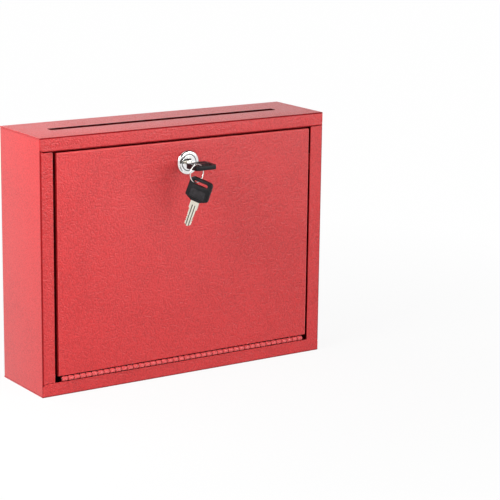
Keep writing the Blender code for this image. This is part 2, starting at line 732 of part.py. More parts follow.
def bow_outline():
    half = BOW_WIDTH / 2
    near_x, near_z = BOW_NEAR_CHAMFER
    far = (half - BOW_FAR_CORNER, BOW_LENGTH - BOW_FAR_CORNER)
    right = [(half - near_x, 0.0), (half, near_z), *arc(far, BOW_FAR_CORNER, 0, 90, CORNER_STEPS)]
    return right + [(-x, z) for x, z in reversed(right)]


def key_bow(shop, name, parent, place):
    """The plastic grip: thinner towards its far end, with a slot for the ring and a bare sunk panel on each face."""
    mesh = upright(name, [bow_outline()], BOW_THICKNESS)
    shape = bmesh.new()
    shape.from_mesh(mesh)
    whole = shape.verts[:] + shape.edges[:] + shape.faces[:]
    bmesh.ops.bisect_plane(shape, geom=whole, plane_co=(0.0, 0.0, BOW_TAPER_START), plane_no=(0.0, 0.0, 1.0))
    for vert in shape.verts:
        share = max(0.0, vert.co.z - BOW_TAPER_START) / (BOW_LENGTH - BOW_TAPER_START)
        half = BOW_THICKNESS / 2 + share * (BOW_FAR_THICKNESS - BOW_THICKNESS) / 2
        vert.co.y = math.copysign(half, vert.co.y)
    made = piece(shop, name, finished_mesh(name, shape), shop.plastic, parent, place)
    bevel(made, BOW_EDGE, 2)
    depth = BOW_THICKNESS + 2 * OVERRUN
    length, width = BOW_SLOT_LENGTH / 2, BOW_SLOT_WIDTH / 2
    low, high = BOW_SLOT_PLACE - width, BOW_SLOT_PLACE + width
    cut(shop, made, upright(f"{name}_slot", [rounded_rectangle(-length, low, length, high, BOW_SLOT_CORNER)], depth))
    tang_x = TANG_WIDTH / 2 + CLEARANCE
    tang_y = BLADE_THICKNESS / 2 + CLEARANCE
    pocket = block(f"{name}_pocket", (-tang_x, -tang_y, -OVERRUN), (tang_x, tang_y, TANG_LENGTH + CLEARANCE))
    cut(shop, made, pocket)
    half_x, half_z = BOW_PANEL[0] / 2, BOW_PANEL[1] / 2
    outline = rounded_rectangle(-half_x, BOW_PANEL_PLACE - half_z, half_x, BOW_PANEL_PLACE + half_z, BOW_PANEL_CORNER)
    for side in (-1, 1):
        middle = side * (BOW_THICKNESS / 2 + OVERRUN / 2 - BOW_PANEL_DEPTH)
        cut(shop, made, upright(f"{name}_panel", [outline], OVERRUN, middle))


def key_ring(shop, swing):
    bpy.ops.mesh.primitive_torus_add(
        major_radius=RING_RADIUS, minor_radius=RING_WIRE, major_segments=28, minor_segments=8
    )
    made = bpy.context.active_object
    mesh = made.data
    bpy.data.objects.remove(made, do_unlink=True)
    mesh.name = "key_ring"
    mesh.transform(Matrix.Rotation(math.pi / 2, 4, "X"))
    mesh.shade_smooth()
    piece(shop, "key_ring", mesh, shop.steel, swing, (0.0, 0.0, -RING_DROP))


def build():
    clear_scene()
    shop = Workshop()
    cabinet_shell(shop)
    top_panel(shop)
    bottom_panel(shop)
    door_stop(shop, "door_stop_left", -1, -OPENING_LEFT, DOOR_GAP_LEFT)
    door_stop(shop, "door_stop_right", 1, OPENING_RIGHT, DOOR_GAP_RIGHT)
    hinge_pin(shop)
    hinge_leaf(shop, "hinge_body_leaf", -1, 1, None, (OPENING_MIDDLE, PIN_Y, PIN_Z))

    door = pivot(shop, "door_pivot", (OPENING_MIDDLE, PIN_Y, PIN_Z))
    hinge_leaf(shop, "hinge_door_leaf", 1, 0, door, (0.0, 0.0, 0.0))
    door_panel(shop, door)
    lock = pivot(shop, "lock_seat", (0.0, FRONT - PIN_Y, LOCK_Z - PIN_Z), (math.pi / 2, 0.0, 0.0), door)
    lock_housing(shop, lock)
    lock_fasteners(shop, lock)

    plug = pivot(shop, "plug_pivot", (0.0, 0.0, 0.0), parent=lock)
    lock_plug(shop, plug)
    wafers(shop, plug)
    cam(shop, plug)
    cam_fasteners(shop, plug)

    key = pivot(shop, "key_pivot", (0.0, 0.0, KEY_STANDOFF), parent=plug)
    key_blade(shop, "key_blade", key, (0.0, 0.0, 0.0))
    key_bow(shop, "key_bow", key, (0.0, 0.0, 0.0))

    # The ring goes round the left side of the slot. Its frame stands there upright, a little turned.
    place = (-BOW_RIM_MIDDLE, 0.0, BOW_SLOT_PLACE + RING_OUT)
    swing = pivot(shop, "ring_pivot", place, (-math.pi / 2, RING_YAW, 0.0), key)
    key_ring(shop, swing)

    hang = pivot(shop, "spare_pivot", (0.0, 0.0, -RING_DROP - RING_RADIUS), (0.0, SPARE_LEAN, SPARE_YAW), swing)
    place = (SPARE_PLACE_IN_SLOT, 0.0, SPARE_RISE - BOW_SLOT_PLACE)
    key_blade(shop, "spare_key_blade", hang, place)
    key_bow(shop, "spare_key_bow", hang, place)


build()
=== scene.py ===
"""Dresses the drop box: coated steel, a piano hinge, a chromed cam lock and two keys on a ring."""

import sys
import logging
import math
from dataclasses import dataclass
from enum import Enum
from typing import Callable, Iterable, Sequence, Union

import bmesh
import bpy
from mathutils import Matrix, Vector


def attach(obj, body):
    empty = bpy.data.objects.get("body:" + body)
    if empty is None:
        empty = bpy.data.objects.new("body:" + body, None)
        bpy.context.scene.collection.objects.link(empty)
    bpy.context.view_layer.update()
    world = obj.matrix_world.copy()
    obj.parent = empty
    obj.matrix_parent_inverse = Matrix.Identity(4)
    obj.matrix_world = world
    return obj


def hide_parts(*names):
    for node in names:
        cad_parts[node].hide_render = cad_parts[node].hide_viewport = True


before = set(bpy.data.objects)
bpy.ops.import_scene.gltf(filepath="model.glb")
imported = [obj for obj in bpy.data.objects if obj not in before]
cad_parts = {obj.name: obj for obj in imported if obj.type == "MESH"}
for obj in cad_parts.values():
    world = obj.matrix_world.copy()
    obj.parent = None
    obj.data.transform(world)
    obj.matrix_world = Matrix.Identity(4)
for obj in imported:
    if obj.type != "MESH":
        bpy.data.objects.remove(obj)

log = logging.getLogger("drop_box")

Point = tuple[float, float]
Pair = tuple[float, float]
Corner = tuple[float, float, float]
Colour = tuple[float, float, float]
Operand = Union["Wire", float, Sequence[float]]
SocketKey = Union[str, int]
Settings = dict[str, object]
Sockets = dict[SocketKey, Operand]
Object = bpy.types.Object
Material = bpy.types.Material
Mesh = bpy.types.Mesh
Face = bpy.types.MeshPolygon
Shape = bmesh.types.BMesh

# Points nearer than this, in metres, are one point.
MERGE = 2e-6
# A corner is found within this distance, in metres.
CLOSE = 1e-6
# The place of the gaps' painted shade among a sheet's coats.
IN_SHADED_GAPS = 4
# Turns a flat piece so that its y points up and its z out of the box's front.
UPRIGHT = Matrix.Rotation(math.pi / 2, 4, "X")


class Body(Enum):
    """The rigid bodies of the frame that pieces ride on."""

    CABINET = "cabinet"
    DOOR = "door"
    PLUG = "plug"
    KEY = "key"
    RING = "ring"
    SPARE_KEY = "spare_key"


class Slot(Enum):
    """The record's material slots of the pieces made here."""

    RED = "red_powder_coat"
    CHROME = "chrome"
    ZINC = "zinc_plated_steel"
    NICKEL = "nickel_silver"
    PLASTIC = "black_plastic"


class Side(Enum):
    """A direction of a box's face."""

    LEFT = (-1.0, 0.0, 0.0)
    RIGHT = (1.0, 0.0, 0.0)
    FRONT = (0.0, -1.0, 0.0)
    BACK = (0.0, 1.0, 0.0)
    UNDER = (0.0, 0.0, -1.0)
    TOP = (0.0, 0.0, 1.0)


class Cut(Enum):
    """What a Boolean does with the second shape."""

    AWAY = "DIFFERENCE"
    JOIN = "UNION"


class Wire:
    """A shader socket that works in Python expressions. Each operator adds a Math node."""

    def __init__(self, graph: "ShaderGraph", socket: bpy.types.NodeSocket) -> None:
        """Keeps the socket with the graph that it belongs to."""
        self.graph = graph
        self.socket = socket

    def math(self, operation: str, *others: Operand) -> "Wire":
        """Adds a Math node with this socket as its first value."""
        return self.graph.math(operation, self, *others)

    def __add__(self, other: Operand) -> "Wire":
        """Sum."""
        return self.math("ADD", other)

    def __radd__(self, other: Operand) -> "Wire":
        """Sum with a number on the left."""
        return self.math("ADD", other)

    def __sub__(self, other: Operand) -> "Wire":
        """Difference."""
        return self.math("SUBTRACT", other)

    def __rsub__(self, other: Operand) -> "Wire":
        """Difference from a number on the left."""
        return self.graph.math("SUBTRACT", other, self)

    def __mul__(self, other: Operand) -> "Wire":
        """Product."""
        return self.math("MULTIPLY", other)

    def __rmul__(self, other: Operand) -> "Wire":
        """Product with a number on the left."""
        return self.math("MULTIPLY", other)

    def __abs__(self) -> "Wire":
        """Size without its sign."""
        return self.math("ABSOLUTE")

    def __lt__(self, other: Operand) -> "Wire":
        """1 where this is less than the other."""
        return self.math("LESS_THAN", other)

    def __gt__(self, other: Operand) -> "Wire":
        """1 where this is greater than the other."""
        return self.math("GREATER_THAN", other)


class ShaderGraph:
    """The nodes of a material, around its Principled BSDF, or of the world."""

    def __init__(self, owner: Union[Material, bpy.types.World]) -> None:
        """Opens the owner's nodes.

        Args:
            owner: The material or world.
        """
        owner.use_nodes = True
        self.owner = owner
        self.tree = owner.node_tree
        self.surface = self.tree.nodes.get("Principled BSDF")

    def plug_in(self, socket: bpy.types.NodeSocket, value: Operand) -> None:
        """Links a wire to an input socket, or sets its value.

        Args:
            socket: The input socket.
            value: A wire, a number, or the numbers of a colour or vector.
        """
        if isinstance(value, Wire):
            self.tree.links.new(value.socket, socket)
        elif socket.type == "RGBA" and len(value) == 3:
            socket.default_value = (*value, 1.0)
        else:
            socket.default_value = value

    def node(self, kind: str, settings: Settings, sockets: Sockets) -> bpy.types.Node:
        """Adds a node.

        Args:
            kind: The node's type, such as ShaderNodeTexNoise.
            settings: Its properties, set first.
            sockets: The values or wires of its inputs, by name or number.

        Returns:
            The node.
        """
        made = self.tree.nodes.new(kind)
        for key, value in settings.items():
            setattr(made, key, value)
        for key, value in sockets.items():
            self.plug_in(made.inputs[key], value)
        return made

    def wire(self, kind: str, settings: Settings, sockets: Sockets, output: SocketKey = 0) -> Wire:
        """Adds a node and returns one of its outputs."""
        return Wire(self, self.node(kind, settings, sockets).outputs[output])

    def math(self, operation: str, *values: Operand) -> Wire:
        """Adds a Math node."""
        return self.wire("ShaderNodeMath", {"operation": operation}, dict(enumerate(values)))

    def vector(self, operation: str, *values: Operand) -> Wire:
        """Adds a Vector Math node."""
        return self.wire("ShaderNodeVectorMath", {"operation": operation}, dict(enumerate(values)))

    def mix(self, low: Operand, high: Operand, share: Operand) -> Wire:
        """Mixes two colours by a share from 0 to 1."""
        sockets = {0: share, 6: low, 7: high}
        return self.wire("ShaderNodeMix", {"data_type": "RGBA"}, sockets, 2)

    def spread(
        self, value: Wire, low: float, high: float, start: float = 0.0, end: float = 1.0
    ) -> Wire:
        """Maps a value from the span low to high onto the span start to end, clamped."""
        sockets = {0: value, 1: low, 2: high, 3: start, 4: end}
        return self.wire("ShaderNodeMapRange", {"clamp": True}, sockets)

    def place(self, stretch: Corner = (1.0, 1.0, 1.0)) -> Wire:
        """The place on the piece in its own frame, in metres, stretched along each axis."""
        here = self.wire("ShaderNodeTexCoord", {}, {}, "Object")
        return here if stretch == (1.0, 1.0, 1.0) else self.vector("MULTIPLY", here, stretch)

    def parts(self, vector: Wire) -> tuple[Wire, Wire, Wire]:
        """The three numbers of a vector."""
        split = self.node("ShaderNodeSeparateXYZ", {}, {0: vector})
        return tuple(Wire(self, out) for out in split.outputs)

    def noise(self, place: Wire, size: float, detail: float = 2.0, roughness: float = 0.5) -> Wire:
        """Soft noise from 0 to 1, with features of a size in metres."""
        sockets = {"Vector": place, "Scale": 1.0 / size, "Detail": detail, "Roughness": roughness}
        return self.wire("ShaderNodeTexNoise", {}, sockets)

    def spangle(self, place: Wire, size: float) -> Wire:
        """A shade of its own for each crystal of a size in metres."""
        sockets = {"Vector": place, "Scale": 1.0 / size}
        return self.wire("ShaderNodeTexVoronoi", {"feature": "F1"}, sockets, "Color")

    def blend(self, one: Wire, other: Wire, share: float) -> Wire:
        """A share of one value with the rest of another."""
        return one * share + other * (1.0 - share)

    def bump(self, height: Wire, depth: float, strength: float) -> Wire:
        """A normal from a height between 0 and 1 and its depth in metres."""
        sockets = {"Height": height, "Distance": depth, "Strength": strength}
        return self.wire("ShaderNodeBump", {}, sockets)

    def dress(self, **inputs: Operand) -> Material:
        """Sets inputs of the surface.

        Args:
            **inputs: Values or wires by socket name, in lower case with underscores.

        Returns:
            The material.
        """
        for key, value in inputs.items():
            self.plug_in(self.surface.inputs[self.socket_name(key)], value)
        return self.owner

    def socket_name(self, key: str) -> str:
        """The surface's socket whose name reads like the key."""
        return next(s.name for s in self.surface.inputs if s.name.lower().replace(" ", "_") == key)


@dataclass(frozen=True)
class PowderCoat:
    """Pebbled red powder coat on sheet steel."""

    name: str = "red powder coat"
    colour: Colour = (0.67, 0.028, 0.031)
    deep: Colour = (0.38, 0.003, 0.005)
    pebble: float = 0.0014
    pebble_depth: float = 0.0008
    pebble_share: float = 0.8
    pebble_span: Pair = (0.32, 0.62)
    grit_scale: float = 0.4
    grit_span: Pair = (0.25, 0.75)
    cloud: float = 0.045
    cloud_span: Pair = (0.3, 0.7)
    relief: float = 0.85
    light_share: float = 0.75
    shade_span: Pair = (0.0, 0.8)
    tint: Pair = (0.42, 0.97)
    roughness: float = 0.30
    roughness_steps: Pair = (-0.06, 0.08)
    shine: float = 0.46
    dust: float = 0.09
    dust_spread: float = 0.4

    def material(self) -> Material:
        """Builds the finish.

        Returns:
            The material.
        """
        graph = ShaderGraph(bpy.data.materials.new(self.name))
        here = graph.place()
        pebbles = graph.noise(here, self.pebble, detail=1.0, roughness=0.4)
        grit = graph.noise(here, self.pebble * self.grit_scale, detail=3.0, roughness=0.6)
        height = graph.blend(pebbles, grit, self.pebble_share)
        # The pebbles' low points take the deep colour: painted shade in the pits, blended with a
        # random cloudy tone.
        light = graph.spread(height, *self.pebble_span)
        cloud = graph.spread(graph.noise(here, self.cloud), *self.cloud_span)
        shade = graph.blend(light, cloud, self.light_share)
        tint = graph.spread(shade, *self.shade_span, *self.tint)
        roughness = [self.roughness + step for step in self.roughness_steps]
        return graph.dress(
            base_color=graph.mix(self.deep, self.colour, tint),
            roughness=graph.spread(grit, *self.grit_span, *roughness),
            normal=graph.bump(height, self.pebble_depth, self.relief),
            specular_ior_level=self.shine,
            sheen_weight=self.dust,
            sheen_roughness=self.dust_spread,
        )


@dataclass(frozen=True)
class Plating:
    """A plated or polished metal, with fine scratches and faint stains."""

    name: str
    colour: Colour
    dull: Colour
    roughness: float
    scratch: float = 0.00004
    relief: float = 0.5
    grain: Corner = (1.0, 1.0, 1.0)
    grain_size: float = 0.0006
    stain_size: float = 0.006
    stain_span: Pair = (0.35, 0.7)
    stain_share: float = 0.6
    spots: float = 0.0
    spot_share: float = 0.4
    dull_span: Pair = (0.25, 0.8)
    wear_span: Pair = (0.2, 0.8)
    wear: Pair = (0.75, 1.4)

    def material(self) -> Material:
        """Builds the finish.

        Returns:
            The material.
        """
        graph = ShaderGraph(bpy.data.materials.new(self.name))
        here = graph.place()
        along = graph.place(self.grain)
        lines = graph.noise(along, self.grain_size, detail=4.0, roughness=0.65)
        stain = graph.spread(graph.noise(here, self.stain_size, detail=3.0), *self.stain_span)
        shade = graph.blend(stain, lines, self.stain_share)
        if self.spots:
            shade = graph.blend(graph.spangle(here, self.spots), shade, self.spot_share)
        roughness = [self.roughness * factor for factor in self.wear]
        return graph.dress(
            base_color=graph.mix(self.colour, self.dull, graph.spread(shade, *self.dull_span)),
            metallic=1.0,
            roughness=graph.spread(shade, *self.wear_span, *roughness),
            normal=graph.bump(lines, self.scratch, self.relief),
        )


@dataclass(frozen=True)
class BowPlastic:
    """Black moulded plastic with a fine grain, and a cross-cut grip on its sunk panels."""

    name: str = "black moulded plastic"
    colour: Colour = (0.007, 0.007, 0.008)
    worn: Colour = (0.022, 0.022, 0.024)
    grip_low: float = 0.0036
    grip_high: float = 0.0114
    grip_half: float = 0.0074
    grip_pitch: float = 0.0008
    rib_share: float = 0.35
    grain_size: float = 0.0003
    grain_depth: float = 0.0001
    grain_share: float = 0.3
    grain_span: Pair = (0.3, 0.7)
    relief: float = 0.8
    rub_size: float = 0.004
    rub_span: Pair = (0.4, 0.75)
    roughness: Pair = (0.30, 0.44)
    shine: float = 0.16

    def material(self) -> Material:
        """Builds the finish.

        Returns:
            The material.
        """
        graph = ShaderGraph(bpy.data.materials.new(self.name))
        here = graph.place()
        x, _, z = graph.parts(here)
        grain = graph.noise(here, self.grain_size, detail=4.0, roughness=0.6)
        turn = math.tau / self.grip_pitch
        ribs = ((x + z) * turn).math("SINE") * ((x - z) * turn).math("SINE")
        middle, half = (self.grip_low + self.grip_high) / 2, (self.grip_high - self.grip_low) / 2
        inside = (abs(x) < self.grip_half) * (abs(z - middle) < half)
        height = grain * self.grain_share + ribs * inside * self.rib_share
        rub = graph.noise(here, self.rub_size, detail=4.0, roughness=0.6)
        return graph.dress(
            base_color=graph.mix(self.colour, self.worn, graph.spread(rub, *self.rub_span)),
            roughness=graph.spread(grain, *self.grain_span, *self.roughness),
            normal=graph.bump(height, self.grain_depth, self.relief),
            specular_ior_level=self.shine,
        )


@dataclass(frozen=True)
class Palette:
    """One material for each finish of the box, and for each painted shade and highlight on it."""

    red: Material
    side: Material
    fold: Material
    door_fold_highlight: Material
    hinge: Material
    inside: Material
    gap: Material
    chrome: Material
    bore: Material
    zinc: Material
    brass: Material
    nickel: Material
    groove: Material
    steel_wire: Material
    plastic: Material
    grip: Material

    @classmethod
    def mixed(cls) -> "Palette":
        """Builds every finish.

        Returns:
            The palette.
        """
        finishes = {
            "red": PowderCoat(),
            "side": PowderCoat("red powder coat on the sides", pebble_depth=0.0001),
            # A darker copy of the coat for the case's folds and the door's left fold: painted shade
            # along the bends.
            "fold": PowderCoat(
                "painted shade on the folds", (0.30, 0.008, 0.010), (0.22, 0.005, 0.007),
                shine=0.1, dust=0.0,
            ),
            # A lighter copy of the coat for the door's folds: a painted highlight along the bends.
            "door_fold_highlight": PowderCoat(
                "painted highlight on the door's folds", (0.80, 0.085, 0.085), (0.66, 0.050, 0.050)
            ),
            # A lighter copy of the coat for the knuckles: a painted highlight.
            "hinge": PowderCoat(
                "red powder coat on the hinge", (0.78, 0.095, 0.100), (0.64, 0.050, 0.055),
                pebble=0.0008, pebble_depth=0.0001, roughness=0.28,
            ),
            # A dark copy of the coat for inner faces and the door's returns: painted shade.
            "inside": PowderCoat(
                "painted shade inside", (0.20, 0.010, 0.010), (0.13, 0.006, 0.006),
                roughness=0.6, shine=0.15, dust=0.0,
            ),
            # A near-black copy of the coat for seams, the slot's rim and the hinge's leaves:
            # painted shade.
            "gap": PowderCoat(
                "painted shade in the gaps", (0.040, 0.003, 0.003), (0.020, 0.002, 0.002),
                roughness=0.7, shine=0.05, dust=0.0,
            ),
            "chrome": Plating("polished chrome", (0.86, 0.86, 0.86), (0.74, 0.74, 0.73), 0.07),
            # Near-black steel for the bore's wall and the keyway: painted shade.
            "bore": Plating(
                "dark steel as painted shade in the bore", (0.045, 0.045, 0.045), (0.020, 0.020, 0.020), 0.45
            ),
            "zinc": Plating(
                "zinc plate", (0.66, 0.66, 0.63), (0.50, 0.50, 0.47), 0.30, spots=0.0025
            ),
            "brass": Plating("stamped brass", (0.78, 0.60, 0.30), (0.60, 0.42, 0.18), 0.28),
            "nickel": Plating(
                "nickel silver", (0.83, 0.80, 0.70), (0.66, 0.62, 0.52), 0.24,
                scratch=0.00006, grain=(1.0, 1.0, 0.12), grain_size=0.0005,
            ),
            # A dark coat for the key's grooves: painted shade.
            "groove": Plating(
                "painted shade in the key's grooves", (0.10, 0.09, 0.07), (0.05, 0.045, 0.035), 0.45
            ),
            "steel_wire": Plating("steel wire", (0.80, 0.79, 0.77), (0.60, 0.59, 0.57), 0.16),
            "plastic": BowPlastic(),
            "grip": BowPlastic(
                "black plastic of the grip", (0.020, 0.019, 0.021), (0.046, 0.044, 0.048)
            ),
        }
        return cls(**{use: finish.material() for use, finish in finishes.items()})


class Workbench:
    """Makes meshes from outlines, profiles and boxes, and seats the pieces on the frame."""

    def __init__(self) -> None:
        """Opens the collection that the pieces go in."""
        self.shelf = bpy.data.collections.new("dressed_box")
        bpy.context.scene.collection.children.link(self.shelf)
        self.count = 0

    def thing(self, name: str, mesh: bpy.types.ID) -> Object:
        """Puts a mesh or curve on the shelf as an object.

        Args:
            name: The object's name.
            mesh: Its mesh or curve.

        Returns:
            The object.
        """
        made = bpy.data.objects.new(name, mesh)
        self.shelf.objects.link(made)
        return made

    def from_bmesh(self, name: str, shape: Shape) -> Object:
        """Turns a bmesh into an object.

        Args:
            name: The object's name.
            shape: The bmesh, which is freed.

        Returns:
            The object.
        """
        mesh = bpy.data.meshes.new(name)
        shape.to_mesh(mesh)
        shape.free()
        return self.thing(name, mesh)

    def evaluated(self, made: Object) -> Mesh:
        """The mesh of an object with its modifiers, or of a curve.

        Args:
            made: The object.

        Returns:
            The mesh.
        """
        bpy.context.view_layer.update()
        graph = bpy.context.evaluated_depsgraph_get()
        return bpy.data.meshes.new_from_object(made.evaluated_get(graph))

    def take_mesh(self, made: Object) -> Mesh:
        """Takes the mesh out of an object and removes the object.

        Args:
            made: The object.

        Returns:
            Its mesh.
        """
        mesh = made.data
        bpy.data.objects.remove(made, do_unlink=True)
        return mesh

    def cast(self, name: str, curve: bpy.types.Curve) -> Mesh:
        """Turns a curve into a mesh.

        Args:
            name: A name for the curve's object.
            curve: The curve.

        Returns:
            The mesh.
        """
        guide = self.thing(name, curve)
        mesh = self.evaluated(guide)
        bpy.data.objects.remove(guide, do_unlink=True)
        return mesh

    def settle(self, made: Object) -> Object:
        """Replaces an object's mesh with the result of its modifiers.

        Args:
            made: The object.

        Returns:
            The same object.
        """
        mesh = self.evaluated(made)
        made.modifiers.clear()
        made.data = mesh
        mesh.name = made.name
        return made

    def change(self, made: Object, kind: str, settings: Settings) -> Object:
        """Adds a modifier and settles it.

        Args:
            made: The object.
            kind: The modifier's type.
            settings: The modifier's properties.

        Returns:
            The same object.
        """
        modifier = made.modifiers.new(kind.lower(), kind)
        for key, value in settings.items():
            setattr(modifier, key, value)
        return self.settle(made)

    def combine(self, made: Object, other: Object, how: Cut) -> Object:
        """Cuts an object with another or joins them.

        Args:
            made: The object that stays.
            other: The object that cuts it or joins it, which is then removed.
            how: Whether it cuts or joins.

        Returns:
            The object that stays.
        """
        self.change(made, "BOOLEAN", {"operation": how.value, "solver": "EXACT", "object": other})
        bpy.data.objects.remove(other, do_unlink=True)
        return made

    def coat(self, made: Object, coats: Iterable[Material], index: int = 0) -> Object:
        """Gives an object its finishes.

        Args:
            made: The object.
            coats: The finishes, in order.
            index: The place of the one on all its faces, which a cutter leaves on its cut.

        Returns:
            The same object.
        """
        for coat in coats:
            made.data.materials.append(coat)
        for face in made.data.polygons:
            face.material_index = index
        return made

    def recoat(self, made: Object, coat: Material, chosen: Callable[[Face], bool]) -> None:
        """Gives some of an object's faces another finish.

        Args:
            made: The object.
            coat: The finish.
            chosen: The test that a face passes to get it.
        """
        made.data.materials.append(coat)
        for face in made.data.polygons:
            if chosen(face):
                face.material_index = len(made.data.materials) - 1

    def soften(
        self, made: Object, width: float, steps: int, angle: float, coat: int = -1
    ) -> None:
        """Rounds an object's edges.

        Args:
            made: The object.
            width: How far the rounding reaches.
            steps: The number of faces across it.
            angle: The angle in degrees above which an edge is rounded.
            coat: The place of the rounding's finish, or -1 for that of the faces beside it.
        """
        self.change(made, "BEVEL", {
            "width": width, "segments": steps, "limit_method": "ANGLE",
            "angle_limit": math.radians(angle), "use_clamp_overlap": True,
            "harden_normals": False, "material": coat,
        })

    def shade(self, made: Object, angle: float = 32.0) -> Object:
        """Shades an object smooth.

        Args:
            made: The object.
            angle: The angle in degrees above which an edge stays sharp.

        Returns:
            The same object.
        """
        made.data.shade_smooth()
        made.data.set_sharp_from_angle(angle=math.radians(angle))
        return made

    def block(self, name: str, spans: Iterable[tuple[Corner, Corner]]) -> Object:
        """Boxes between pairs of corners, in one object.

        Args:
            name: The object's name.
            spans: Each box's low and high corner.

        Returns:
            The object.
        """
        shape = bmesh.new()
        for low, high in spans:
            add_box(shape, low, high)
        return self.from_bmesh(name, shape)

    def rod(self, name: str, radius: float, low: Corner, high: Corner, steps: int = 32) -> Object:
        """A cylinder from one point to another.

        Args:
            name: The object's name.
            radius: Its radius.
            low: The middle of one end.
            high: The middle of the other.
            steps: The number of faces round it.

        Returns:
            The object.
        """
        start, end = Vector(low), Vector(high)
        turn = (end - start).to_track_quat("Z", "Y").to_matrix().to_4x4()
        shape = bmesh.new()
        bmesh.ops.create_cone(
            shape, cap_ends=True, segments=steps, radius1=radius, radius2=radius,
            depth=(end - start).length, matrix=Matrix.Translation((start + end) / 2) @ turn,
        )
        return self.from_bmesh(name, shape)

    def plate(
        self, name: str, outlines: Sequence[Sequence[Point]], thickness: float,
        rounding: float = 0.0, turn: Matrix = Matrix.Identity(4),
    ) -> Object:
        """A flat plate about z = 0 from closed outlines.

        Args:
            name: The object's name.
            outlines: The outer edge and then the holes, as (x, y) points.
            thickness: The plate's whole thickness.
            rounding: The radius of its edges.
            turn: Where the plate goes from its own frame.

        Returns:
            The plate, with its turn in its mesh.
        """
        curve = bpy.data.curves.new(name, "CURVE")
        curve.dimensions = "2D"
        curve.fill_mode = "BOTH"
        curve.extrude = thickness / 2 - rounding
        curve.bevel_depth = rounding
        curve.bevel_resolution = 2
        curve.offset = -rounding
        for outline in outlines:
            spline = curve.splines.new("POLY")
            spline.points.add(len(outline) - 1)
            for point, (x, y) in zip(spline.points, outline):
                point.co = (x, y, 0.0, 1.0)
            spline.use_cyclic_u = True
        raw = self.cast(name, curve)
        shape = bmesh.new()
        shape.from_mesh(raw)
        bpy.data.meshes.remove(raw)
        bmesh.ops.remove_doubles(shape, verts=shape.verts, dist=MERGE)
        bmesh.ops.transform(shape, matrix=turn, verts=shape.verts)
        bmesh.ops.recalc_face_normals(shape, faces=shape.faces)
        return self.from_bmesh(name, shape)

    def turned(
        self, name: str, profile: Sequence[Point], steps: int = 96, closed: bool = True
    ) -> Object:
        """A shape turned about z.

        Args:
            name: The object's name.
            profile: Its section, as (radius, height) points.
            steps: The number of faces round it.
            closed: Whether the section's last point joins its first.

        Returns:
            The object.
        """
        shape = bmesh.new()
        verts = [shape.verts.new((r, 0.0, z)) for r, z in profile]
        pairs = list(zip(verts, verts[1:])) + ([(verts[-1], verts[0])] if closed else [])
        edges = [shape.edges.new(pair) for pair in pairs]
        bmesh.ops.spin(
            shape, geom=verts + edges, cent=(0, 0, 0), axis=(0, 0, 1),
            angle=math.tau, steps=steps, use_merge=True,
        )
        bmesh.ops.remove_doubles(shape, verts=shape.verts, dist=MERGE)
        bmesh.ops.recalc_face_normals(shape, faces=shape.faces)
        return self.from_bmesh(name, shape)

    def seat(self, made: Object, body: Body, slot: Slot, *nodes: str) -> None:
        """Seats a piece on its body.

        Args:
            made: The piece.
            body: The body that it rides on.
            slot: Its material slot in the record; not used.
            *nodes: The frame's nodes that it stands for.
        """
        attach(made, body.value)
        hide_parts(*nodes)
        self.count += 1
        log.info("%s: %d faces, rides on %s", made.name, len(made.data.polygons), body.value)

    def paint(self, nodes: Iterable[str], material: Material) -> None:
        """Gives the frame's own nodes a finish.

        Args:
            nodes: The nodes' names.
            material: The finish.
        """
        for name in nodes:
            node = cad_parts[name]
            node.data.materials.clear()
            node.data.materials.append(material)
            log.info("%s: painted %s", name, material.name)


def arc(centre: Point, radius: float, start: float, end: float, steps: int = 8) -> list[Point]:
    """Points on an arc between two angles in degrees."""
    turns = [math.radians(start + (end - start) * i / steps) for i in range(steps + 1)]
    return [(centre[0] + radius * math.cos(t), centre[1] + radius * math.sin(t)) for t in turns]


def add_box(shape: Shape, low: Corner, high: Corner) -> None:
    """Adds a box to a bmesh.

    Args:
        shape: The bmesh.
        low: The box's low corner.
        high: Its high corner.
    """
    start, end = Vector(low), Vector(high)
    size = Matrix.Diagonal((*(end - start), 1.0))
    bmesh.ops.create_cube(shape, size=1.0, matrix=Matrix.Translation((start + end) / 2) @ size)


def upright(y: float) -> Matrix:
    """Turns a plate so that its y points up, and moves it to a depth."""
    return Matrix.Translation((0.0, y, 0.0)) @ UPRIGHT


def rounded(left: float, bottom: float, right: float, top: float, radius: float) -> list[Point]:
    """A rectangle with rounded corners.

    Args:
        left: Its left edge.
        bottom: Its bottom edge.
        right: Its right edge.
        top: Its top edge.
        radius: The radius of its corners.

    Returns:
        Its outline.
    """
    return (
        arc((right - radius, bottom + radius), radius, -90, 0)
        + arc((right - radius, top - radius), radius, 0, 90)
        + arc((left + radius, top - radius), radius, 90, 180)
        + arc((left + radius, bottom + radius), radius, 180, 270)
    )


def double_d(radius: float, flats: float, steps: int = 64) -> list[Point]:
    """A circle with two flat sides, left and right."""
    circle = arc((0.0, 0.0), radius, 0, 360, steps)[:-1]
    return [(max(-flats / 2, min(flats / 2, x)), y) for x, y in circle]


